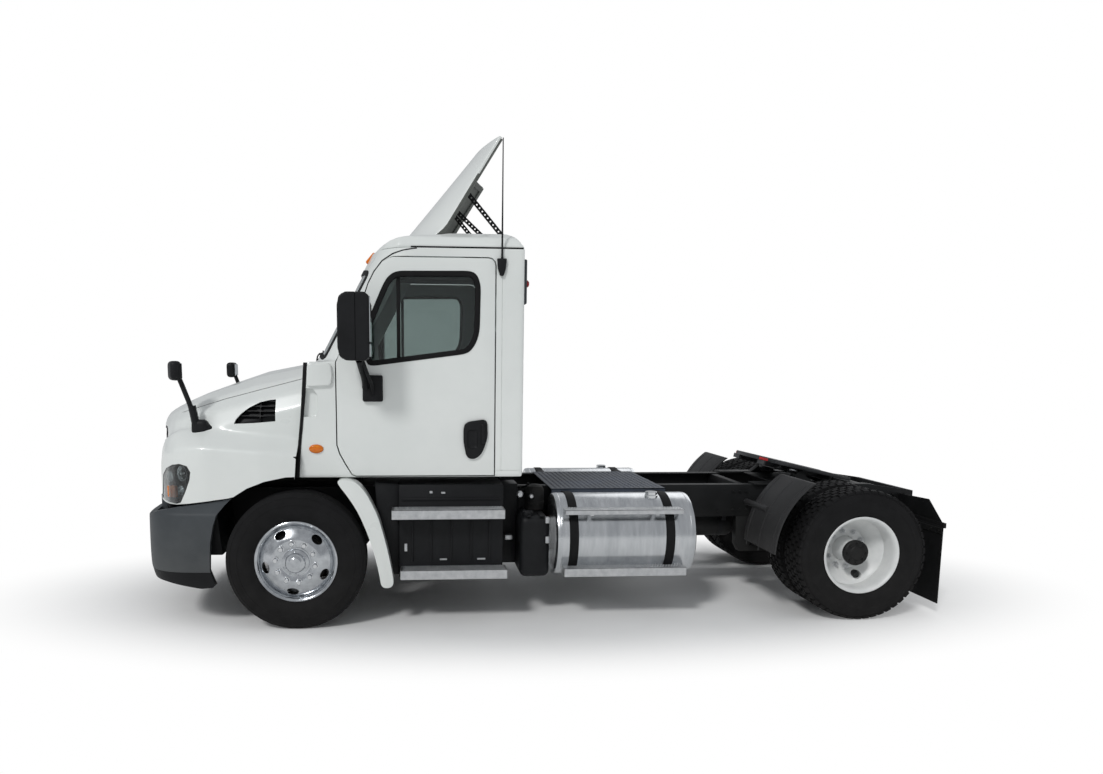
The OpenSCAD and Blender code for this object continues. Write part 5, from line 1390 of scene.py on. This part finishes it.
def deck():
    """The walk-on plate: a folded sheet with raised five-bar lugs, drawn as single lugs 40 mm apart."""
    x0, x1, y0, y1, z0, z1 = FRONT - 2.86, FRONT - 1.94, -0.4125, 0.6725, 0.95, 0.962
    plate = slab((x0, x1), (y0, y1), (z0, z1 - 0.0025), 0.002, 1)
    lip = slab((x0, x1), (y1 - 0.004, y1), (z0 - 0.045, z1 - 0.003), 0.0015, 1)
    lug = bmesh.new()
    bmesh.ops.create_cube(lug, size=1.0)
    for v in lug.verts:
        high = v.co.z > 0
        v.co = Vector((v.co.x * (0.018 if high else 0.026), v.co.y * (0.004 if high else 0.008),
                       0.0025 if high else -0.001))
    lugs = []
    for i in range(22):
        for j in range(26):
            turn = tilted(45 if (i + j) % 2 else -45, "Z")
            lugs.append(copy_of(lug, at(x0 + 0.04 + i * 0.04, y0 + 0.04 + j * 0.04, z1 - 0.0025) @ turn))
    lug.free()
    piece("deck_sheet", join(plate, lip, *lugs), DECK, "chassis", ("deck_plate",), angle=30)


def coupling():
    """The fifth wheel: a cast plate with ribs, grease lines, a release handle and red marks."""
    tilt = at(REAR + 0.15, 0, 1.015) @ tilted(-13, "Y")
    nose = prism([(0.365, -0.15), (0.24, -0.455), (0.24, -0.6), (0.7, -0.6), (0.7, 0.6), (0.24, 0.6),
                  (0.24, 0.455), (0.365, 0.15)], "z", (-0.3, 0.3))
    plate = rounded(less(copy_node("fifth_wheel"), copy_of(nose, tilt)), 0.005)
    nose.free()
    ribs = []
    for y in (-0.2, 0.2):
        ribs.append(slab((-0.4, 0.3), (y - 0.01, y + 0.01), (0.015, 0.057), 0.003, 1))
    for x in (-0.3, 0.16, 0.3):
        ribs.append(slab((x - 0.009, x + 0.009), (-0.34, -0.2), (0.018, 0.057), 0.003, 1))
        ribs.append(slab((x - 0.009, x + 0.009), (0.2, 0.34), (0.018, 0.057), 0.003, 1))
    under = copy_of(join(*ribs), tilt)
    piece("coupling_plate", join(plate, under), COUPLER, "fifth_wheel", ("fifth_wheel",),
          angle=32)
    grooves = []
    for side in (1, -1):
        for radius in (0.24, 0.34):
            line = [(0.05 + radius * math.cos(t), side * radius * math.sin(t),
                     0.0846) for t in [math.radians(a) for a in range(25, 116, 10)]]
            grooves.append(tube(line, 0.0024, 6))
    piece("coupling_grease_lines", copy_of(join(*grooves), tilt), RUBBER, "fifth_wheel",
          angle=40)
    handle = tube([(0.02, 0.13, 0.03), (0.03, 0.28, 0.03), (0.04, 0.4, 0.034), (0.075, 0.445, 0.034),
                   (0.12, 0.448, 0.034)], 0.016, 8)
    piece("release_handle", copy_of(handle, tilt), STEP, "fifth_wheel", angle=40)
    mark = copy_of(slab((-0.002, 0.004), (-0.05, 0.05), (-0.011, 0.011), 0.002, 1),
                   at(0.303, 0.302, 0.069) @ tilted(22, "Z"))
    piece("coupling_red_marks", copy_of(both_sides(mark), tilt), RED_PAINT, "fifth_wheel",
          angle=40)


def only_parts(bm, wanted):
    """Drops the loose parts of a mesh whose middle isn't wanted."""
    seen = set()
    for start in list(bm.verts):
        if start in seen:
            continue
        group, front = [start], [start]
        seen.add(start)
        while front:
            for edge in front.pop().link_edges:
                for v in edge.verts:
                    if v not in seen:
                        seen.add(v)
                        group.append(v)
                        front.append(v)
        middle = sum((v.co for v in group), Vector()) / len(group)
        for v in group:
            v.tag = not wanted(middle)
    bmesh.ops.delete(bm, geom=[v for v in bm.verts if v.tag], context="VERTS")
    return bm


def rear_wings_and_flaps():
    """The quarter wings with their pressed seams, the mud flaps, and what holds the flaps."""
    wings = only_parts(copy_node("rear_wings"), lambda p: p.x > REAR - 0.4)
    flaps = only_parts(copy_node("rear_wings"), lambda p: p.x <= REAR - 0.4)
    flaps = less(flaps, both_sides(box((REAR - 1.0, REAR - 0.5), (1.09, 1.4), (0.0, 0.8))))
    wings = less(wings, box((REAR + 0.3, REAR + 1.0), (-1.4, 1.4), (0.3, 0.52)))
    seams = []
    for side in (1, -1):
        for y in (0.66, 0.895, 1.13):
            ring = [(0.6902, y - 0.004), (0.6945, y - 0.002), (0.6945, y + 0.002), (0.6902, y + 0.004)]
            band = turned(ring, (REAR, 0, HUB_Z), steps=96)
            zone = prism([(REAR + 0.4, 1.04), (REAR + 0.9, 1.04), (REAR + 0.9, 0.49), (REAR + 0.5, 0.49)],
                         "y", (y - 0.02, y + 0.02))
            part = within(band, zone)
            seams.append(on_side(part, side))
    piece("quarter_wings", join(rounded(wings, 0.004), *seams), WING, "chassis",
          ("rear_wings",), angle=30)
    piece("mud_flaps", rounded(flaps, 0.0025), RUBBER, "chassis", angle=30)
    clamps = []
    for side in (1, -1):
        for y in (0.68, 0.82, 0.96, 1.06):
            clamps.append(bolt(REAR - 0.685, side * y, 0.668, "x", 0.009, 0.008))
        clamps.append(slab((REAR - 0.692, REAR - 0.685), to_side(side, 0.62, 1.085), (0.645, 0.69), 0.002,
                           1))
        gusset = prism([(side * y, z) for y,
                        z in ((0.434, 0.87), (0.86, 0.885), (1.085, 0.7), (0.434, 0.7))], "x",
                       (REAR - 0.716, REAR - 0.71))
        clamps.append(rounded(gusset, 0.002, 1))
    piece("flap_clamps_and_gussets", join(*clamps), CHASSIS, "chassis", angle=35)


def fairing():
    """The roof fairing: a moulded panel that leans back and bows across, with a folded rim, on three
    perforated struts."""
    half = 0.86

    def spot(t, y):
        share = (y / half) ** 2
        flare = 0.13 * max(0.0, 1 - t / 0.22) ** 2
        middle = (-0.715 - 0.62 * t, 2.845 + 0.727 * t)
        edge = (-1.0 - 0.487 * t + flare, 2.785 + 0.787 * t)
        x, z = (a * (1 - share) + b * share for a, b in zip(middle, edge))
        return Vector((FRONT + x, y, z))

    def sheet(up, across, depth, sunk=0.0):
        bm = bmesh.new()
        made = bmesh.ops.create_grid(bm, x_segments=36, y_segments=24, size=1.0)
        for v in made["verts"]:
            v.co = spot(up[0] + (up[1] - up[0]) * (v.co.y + 1) / 2,
                        across[0] + (across[1] - across[0]) * (v.co.x + 1) / 2
                        ) - Vector((0.75, 0, 0.66)) * sunk
        bm.normal_update()
        if next(iter(bm.faces)).normal.x < 0:
            bmesh.ops.reverse_faces(bm, faces=bm.faces)
        holder = held(bm)
        wall = holder.modifiers.new("wall", "SOLIDIFY")
        wall.thickness = depth
        wall.offset = -1
        return solid_of(holder)

    panel = rounded(sheet((0.0, 1.0), (-half, half), 0.022), 0.005, 3, 50)
    # the faces turned back and down, and the rims behind, take the grey that is partly the bare moulding
    # and partly painted shade
    for face in panel.faces:
        face.material_index = int(face.normal.x < -0.2 and face.normal.z < -0.2)
    rims = join(sheet((0.945, 0.992), (-half + 0.006, half - 0.006), 0.026, 0.01),
                both_sides(sheet((0.04, 0.985), (half - 0.055, half - 0.006), 0.026, 0.01)))
    for face in rims.faces:
        face.material_index = 1
    piece("fairing_panel", join(panel, rims), (PAINT, FIBRE_AND_PAINTED_SHADE), "chassis", ("roof_fairing",),
          angle=35)

    bars, feet = [], []
    for y in (-0.62, 0.0, 0.62):
        top, foot = spot(0.62, y) - Vector((0.01, 0, 0.009)), Vector((FRONT - 1.553, y, 2.878))
        way = (foot - top).normalized()
        across = Vector((-way.z, 0, way.x)) * 0.018
        strip = prism([(p.x, p.z) for p in (top + across, foot + across, foot - across, top - across)],
                      "y", (y - 0.003, y + 0.003))
        holes = []
        for k in range(int((foot - top).length / 0.032) - 1):
            spot_k = top + way * 0.032 * (k + 1)
            holes.append(turned([(0.0, -0.02), (0.0065, -0.02), (0.0065, 0.02), (0.0, 0.02)], spot_k,
                                steps=10))
        bars.append(less(strip, *holes))
        feet.append(copy_of(slab((-0.035, 0.035), (-0.022, 0.022), (-0.006, 0.01), 0.003, 1),
                            at(*foot) @ tilted(-31, "Y")))
    piece("fairing_struts", join(*bars, *feet), BLACK, "chassis", angle=35)


def flares():
    """The white strips behind the front wheels: a curved band with a folded front edge."""
    outer = [(-0.3, 1.099), (-0.42, 1.097), (-0.505, 1.01), (-0.592, 0.83), (-0.65, 0.615), (-0.69, 0.42),
             (-0.706, 0.301)]
    inner = [(-0.612, 0.291), (-0.6, 0.38), (-0.57, 0.52), (-0.52, 0.69), (-0.45, 0.86), (-0.375, 0.98),
             (-0.312, 1.06)]
    skin = side_shape(soft(outer + inner, 0.07, 4), (0.99, 1.148))
    hollow = side_shape(inset(soft(outer + inner, 0.07, 4), 0.007), (0.9, 1.139))
    hollow = less(hollow, box((FRONT - 0.8, FRONT), (0.8, 0.995), (0.2, 1.2)))
    skin = both_sides(rounded(less(skin, hollow), 0.004, 3, 50))
    piece("wing_rear_strips", skin, PAINT, "chassis", ("wing_flares",), angle=40)


def engine_bay():
    """Engine and gearbox with cover and ribs, intake pipe and filter, radiator and fan."""
    block = rounded(copy_node("engine_and_gearbox"), 0.014, 3)
    extras = []
    cover = clay(slab((FRONT - 0.1, FRONT + 0.7), (-0.17, 0.17), (1.552, 1.605), 0.02), 0.008, 4)
    for i in range(6):
        extras.append(slab((FRONT - 0.07 + i * 0.125, FRONT - 0.05 + i * 0.125), (-0.172, 0.172),
                           (1.575, 1.61), 0.004, 1))
    for side in (1, -1):
        for i in range(7):
            x = FRONT - 0.15 + i * 0.14
            extras.append(slab((x, x + 0.018), to_side(side, 0.399, 0.414), (1.04, 1.52), 0.004, 1))
    pipe = tube([(FRONT + 0.1, 0.405, 1.4), (FRONT + 0.3, 0.44, 1.42), (FRONT + 0.52, 0.445, 1.4),
                 (FRONT + 0.74, 0.4, 1.3), (FRONT + 0.84, 0.33, 1.28), (FRONT + 0.905, 0.3, 1.28)], 0.08,
                24)
    filt = turned([(0.0, -0.16), (0.09, -0.16), (0.105, -0.14), (0.105, 0.14), (0.09, 0.16), (0.0, 0.16)],
                  (FRONT + 0.3, -0.455, 1.36), "x", 48)
    piece("engine_block", join(block, cover, *extras), CAST, "chassis", ("engine_and_gearbox",),
          angle=32)
    piece("intake_pipe_and_filter", join(pipe, filt), BLACK, "chassis", angle=35)

    frame_part = rounded(copy_node("radiator"), 0.006)
    fins = []
    for i in range(34):
        z = 0.66 + i * 0.0225
        fins.append(box((FRONT + 0.989, FRONT + 0.994), (-0.31, 0.31), (z, z + 0.004)))
    piece("radiator_core", join(frame_part, *fins), CHASSIS, "chassis", ("radiator",), angle=32)
    ring = turned([(0.3, 0.0), (0.312, 0.0), (0.33, 0.07), (0.322, 0.07)], (FRONT + 0.832, 0, 1.1), "x",
                  72)
    hub = turned([(0.0, -0.03), (0.05, -0.03), (0.07, 0.0), (0.07, 0.03), (0.0, 0.034)],
                 (FRONT + 0.852, 0, 1.1), "x", 32)
    shaft = turned([(0.0, -0.06), (0.025, -0.06), (0.025, 0.0), (0.0, 0.0)], (FRONT + 0.852, 0, 1.1), "x",
                   24)
    blades = []
    for i in range(9):
        blade = slab((-0.002, 0.002), (-0.042, 0.042), (0.06, 0.285), 0.001, 1)
        bmesh.ops.rotate(blade, cent=(0, 0, 0), matrix=Matrix.Rotation(math.radians(28), 3, "Z"),
                         verts=blade.verts)
        blades.append(copy_of(blade,
                              at(FRONT + 0.852, 0, 1.1) @ Matrix.Rotation(i * 2 * math.pi / 9, 4, "X")))
        blade.free()
    brackets = [box((FRONT + 0.89, FRONT + 0.905), to_side(s, 0.22, 0.34), (z, z + 0.03))
                for s in (1, -1) for z in (0.92, 1.24)]
    piece("cooling_fan", join(ring, hub, shaft, *blades, *brackets), BLACK, "chassis", angle=35)


# ---------- inside the cab ----------

def lining():
    """Moulded trim over the inside of the walls, roof and floor."""
    wall = 0.0605
    lower = box((CAB_BACK + wall, FRONT - 0.2905), (-CAB_SIDE + wall, CAB_SIDE - wall), (1.1605, 1.9455))
    hollow = box((CAB_BACK + wall + 0.01, FRONT - 0.302),
                 (-CAB_SIDE + wall + 0.008, CAB_SIDE - wall - 0.008), (1.172, 1.9465))
    upper = within(swept(screen_plan(wall)),
                   box((CAB_BACK + wall, FRONT + 0.4), (-CAB_SIDE + wall, CAB_SIDE - wall),
                       (1.944, 2.745)))
    upper_hollow = within(swept(screen_plan(wall + 0.01)),
                          box((CAB_BACK + wall + 0.01, FRONT + 0.4),
                              (-CAB_SIDE + wall + 0.008, CAB_SIDE - wall - 0.008), (1.943, 2.733)))
    door = both_sides(side_shape(DOOR, (0.85, CAB_SIDE + 0.05)))
    screen = slab((-0.3, 0.06), (-0.87, 0.87), (0.05, 0.81), 0.05, 4)
    bmesh.ops.transform(screen, matrix=SCREEN_SLOPE, verts=screen.verts)
    rear = slab((CAB_BACK - 0.02, CAB_BACK + 0.12), (-0.48, 0.48), (2.08, 2.5), 0.035, 4)
    trim = carve(lower, "UNION", upper)
    trim = less(trim, hollow, upper_hollow, door, screen, rear)
    piece("cab_lining", trim, TRIM, "chassis", angle=35)


def dashboard():
    """The dashboard with its steering column, dials and vents."""
    w = 0.955
    lower = side_shape(((-0.302, 1.485), (-0.302, 1.915), (-0.4, 1.925), (-0.5, 1.905), (-0.575, 1.85),
                        (-0.625, 1.76), (-0.64, 1.69), (-0.622, 1.56), (-0.53, 1.485)), (-w, w))
    hood_over = slab((FRONT - 0.6, FRONT - 0.34), (0.24, 0.66), (1.88, 1.945), 0.03, 4)
    stack = slab((FRONT - 0.655, FRONT - 0.56), (-0.16, 0.2), (1.5, 1.84), 0.02, 3)
    body = clay(join(lower, hood_over, stack), 0.012, 6)
    column = tube([(FRONT - 0.56, 0.45, 1.5), (FRONT - 0.655, 0.45, 1.645), (FRONT - 0.722, 0.45, 1.755)],
                  0.088, 24)
    rod = tube([(FRONT - 0.7, 0.45, 1.72), (FRONT - 0.7335, 0.45, 1.7737)], 0.025, 12, smooth=False)
    piece("dash_moulding", join(body, column, rod), DASH, "chassis", ("dashboard",), angle=40)
    dials, vents = [], []
    for y in (0.34, 0.45, 0.56):
        dial = turned([(0.0, 0.0), (0.04, 0.0), (0.044, 0.006), (0.048, 0.006), (0.048, -0.01),
                       (0.0, -0.01)], axis="x", steps=32)
        flip = copy_of(dial, at(FRONT - 0.602, y, 1.862) @ tilted(200, "Y"))
        dial.free()
        dials.append(flip)
    for y in (-0.8, -0.62, -0.1, 0.1, 0.78):
        for k in range(5):
            slat = slab((-0.004, 0.004), (-0.06, 0.06), (-0.002, 0.002), 0.001, 1)
            vents.append(copy_of(slat, at(FRONT - 0.642, y, 1.7 + k * 0.014)))
            slat.free()
    piece("dash_dials", join(*dials), CHROME, "chassis", angle=35)
    piece("dash_vents", join(*vents), BLACK, "chassis", angle=35)


def steering():
    """The steering wheel: rim, three spokes, pad and boss."""
    place = at(FRONT - 0.6, 0.45, 1.56) @ tilted(-32, "Y") @ at(0, 0, 0.24)
    rim = bmesh.new()
    ring = bmesh.ops.create_circle(rim, cap_ends=False, radius=0.0145, segments=16)
    bmesh.ops.rotate(rim, cent=(0, 0, 0), matrix=Matrix.Rotation(math.pi / 2, 3, "X"), verts=ring["verts"])
    bmesh.ops.translate(rim, vec=(0.21, 0, 0.02), verts=ring["verts"])
    bmesh.ops.spin(rim, geom=list(rim.verts) + list(rim.edges), cent=(0, 0, 0), axis=(0, 0, 1),
                   angle=2 * math.pi, steps=72, use_merge=True)
    bmesh.ops.remove_doubles(rim, verts=rim.verts, dist=0.00001)
    bmesh.ops.recalc_face_normals(rim, faces=rim.faces)
    spokes = []
    for a in (90, 210, 330):
        spoke = slab((0.03, 0.205), (-0.017, 0.017), (0.006, 0.017), 0.004, 2)
        spokes.append(copy_of(spoke, tilted(a, "Z")))
        spoke.free()
    pad = clay(slab((-0.062, 0.062), (-0.062, 0.062), (0.015, 0.034), 0.008, 3), 0.004, 4)
    boss = turned([(0.0135, 0.0), (0.045, 0.0), (0.052, 0.016), (0.0, 0.018), (0.0, 0.0145),
                   (0.0135, 0.0145)], axis="z", steps=32)
    whole = join(rim, *spokes, pad, boss)
    bmesh.ops.transform(whole, matrix=place, verts=whole.verts)
    piece("steering_wheel_moulded", whole, BLACK, "steering_wheel", ("steering_wheel",),
          angle=40)


def stuffed(bm, cap):
    """A cover filled by a cloth simulation; no point moves further than the cap."""
    shape = clay(bm, 0.006, 3)
    holder = held(shape, "stuffing")
    start = [v.co.copy() for v in holder.data.vertices]
    cloth = holder.modifiers.new("cloth", "CLOTH")
    cloth.settings.use_pressure = True
    cloth.settings.uniform_pressure_force = 4.0
    cloth.settings.effector_weights.gravity = 0.0
    cloth.settings.quality = 3
    cloth.collision_settings.use_collision = False
    scene = bpy.context.scene
    for step in range(1, 21):
        scene.frame_set(step)
    graph = bpy.context.evaluated_depsgraph_get()
    filled = holder.evaluated_get(graph).to_mesh()
    ends = [v.co.copy() for v in filled.vertices]
    holder.modifiers.clear()
    for v, was, now in zip(holder.data.vertices, start, ends):
        move = now - was
        v.co = was + move * min(1.0, cap / move.length if move.length else 1.0)
    scene.frame_set(1)
    return solid_of(holder)


def seats():
    """Two seats: padded cushion, back and headrest with sewn channels, on a moulded base."""
    cushion = side_shape(((-1.385, 1.492), (-0.915, 1.492), (-0.905, 1.548), (-0.94, 1.59), (-1.1, 1.578),
                          (-1.34, 1.574), (-1.385, 1.584)), (0.235, 0.705))
    back = side_shape(((-1.392, 1.612), (-1.328, 1.612), (-1.35, 1.74), (-1.376, 1.995), (-1.402, 2.18),
                       (-1.468, 2.186), (-1.474, 1.905)), (0.245, 0.695))
    head = side_shape(((-1.462, 2.215), (-1.422, 2.215), (-1.408, 2.245), (-1.418, 2.375),
                       (-1.472, 2.378), (-1.48, 2.262)), (0.345, 0.595))
    forms = []
    for bm, cap, name, fill in ((cushion, 0.016, "cushion", 0.7), (back, 0.014, "backrest", 0.7),
                                (head, 0.01, "headrest", 0.8)):
        form = stuffed(rounded(bm, 0.018, 3), cap)
        # two sewn channels are pressed in along the pad after it is filled
        for v in form.verts:
            for seam in (0.385, 0.555):
                off = abs(v.co.y - seam)
                if name != "headrest" and off < 0.02:
                    dent = 0.009 * (0.5 + 0.5 * math.cos(math.pi * off / 0.02))
                    if name == "cushion" and v.co.z > 1.54:
                        v.co.z -= dent
                    elif name == "backrest" and v.co.x > FRONT - 1.43:
                        v.co.x -= dent
        forms.append((form, name, fill))
    for side, hand in SIDES:
        for form, name, fill in forms:
            shape = on_side(form.copy(), side)
            made = piece(f"seat_{name}_{hand}", shape, CLOTH, "chassis",
                         ("seats",) if name == "cushion" and side > 0 else (), angle=60)
    for form, _, _ in forms:
        form.free()
    base = clay(join(rounded(side_shape(((-1.375, 1.162), (-0.965, 1.162), (-0.985, 1.3), (-1.005, 1.485),
                                         (-1.355, 1.485), (-1.362, 1.3)), (0.305, 0.635)), 0.02),
                     box((FRONT - 1.39, FRONT - 0.92), (0.24, 0.7), (1.478, 1.496)),
                     slab((FRONT - 1.462, FRONT - 1.4), (0.27, 0.67), (1.5, 1.93), 0.02)), 0.01, 3)
    posts = [tube([(FRONT - 1.437, y, 2.14), (FRONT - 1.442, y, 2.26)], 0.012, 8,
                  smooth=False) for y in (0.42, 0.52)]
    lever = tube([(FRONT - 1.05, 0.64, 1.43), (FRONT - 1.05, 0.665, 1.44), (FRONT - 0.97, 0.67, 1.45)],
                 0.016, 8)
    piece("seat_bases", both_sides(join(base, *posts, lever)), DASH, "chassis", angle=40)


# ---------- small outside fittings ----------

def wipers_and_markers():
    """Wipers, side marker lamps, the cowl's lip, the hood's seal and the antenna."""
    arms = []

    def on_glass(y, up, off):
        return (off - 0.098 * y * y, y, up)

    for y in (0.4, -0.16):
        arms += [tube([on_glass(y, 0.02, 0.014), on_glass(y + 0.1, 0.055, 0.02),
                       on_glass(y + 0.24, 0.088, 0.016)], 0.012, 8),
                 tube([on_glass(y + t, 0.07 + t * 0.08, 0.01) for t in (0.02, 0.12, 0.22, 0.32, 0.4)],
                      0.011, 6), turned([(0.0, -0.02), (0.02, -0.02), (0.02, 0.008), (0.011, 0.014),
                                         (0.0, 0.014)], on_glass(y, 0.02, 0.0), "x", 20)]
    whole = join(*arms)
    bmesh.ops.transform(whole, matrix=SCREEN_SLOPE, verts=whole.verts)
    piece("wipers", whole, BLACK, "chassis", angle=40)
    markers = []
    for side in (1, -1):
        lamp = turned([(0.0, 0.0), (0.052, 0.0), (0.052, 0.006), (0.044, 0.014), (0.024, 0.018),
                       (0.0, 0.019)], steps=40)
        for v in lamp.verts:
            v.co.z *= 0.62
        place = at(FRONT - 0.146, side * (CAB_SIDE - 0.001), 1.314)
        if side < 0:
            place = place @ Matrix.Rotation(math.pi, 4, "Z")
        markers.append(copy_of(lamp, place))
        lamp.free()
    piece("side_marker_lamps", join(*markers), AMBER, "chassis", angle=50)
    lip = side_shape(soft(((-0.094, 1.93), (-0.262, 1.934), (-0.274, 1.85), (-0.262, 1.772),
                           (-0.088, 1.762)), 0.03), (CAB_SIDE - 0.012, CAB_SIDE + 0.026))
    piece("cowl_lip", both_sides(rounded(lip, 0.011, 4, 50)), PAINT, "chassis", angle=40)
    gasket = side_shape(((0.002, 1.104), (-0.014, 1.33), (-0.038, 1.56), (-0.05, 1.72), (-0.066, 1.936),
                         (-0.092, 1.936), (-0.078, 1.72), (-0.062, 1.56), (-0.036, 1.33), (-0.02, 1.104)),
                        (CAB_SIDE - 0.012, CAB_SIDE + 0.004))
    piece("hood_seal", both_sides(rounded(gasket, 0.003, 2)), RUBBER, "chassis", angle=40)
    base = rounded(side_shape(((-1.526, 2.682), (-1.456, 2.682), (-1.462, 2.61), (-1.478, 2.56),
                               (-1.504, 2.56), (-1.52, 2.61)), (CAB_SIDE, CAB_SIDE + 0.024)), 0.006, 3)
    whip = join(base, turned([(0.0, 2.676), (0.01, 2.676), (0.0075, 2.7), (0.005, 3.1), (0.004, 3.508),
                              (0.0, 3.51)], (FRONT - 1.492, CAB_SIDE + 0.014, 0.0), "z", 12))
    piece("antenna_whip", whip, BLACK, "chassis", ("antenna",), angle=40)


hood_and_wings()
front_slats()
headlamp()
hood_mirror_pair()
bumper()
cab_body()
cab_roof_cap()
windows()
doors()
door_mirrors()
wheels()
plain_steel()
chassis_fittings()
battery_box_details()
cab_steps()
tanks()
deck()
coupling()
rear_wings_and_flaps()
fairing()
flares()
engine_bay()
lining()
dashboard()
steering()
seats()
wipers_and_markers()
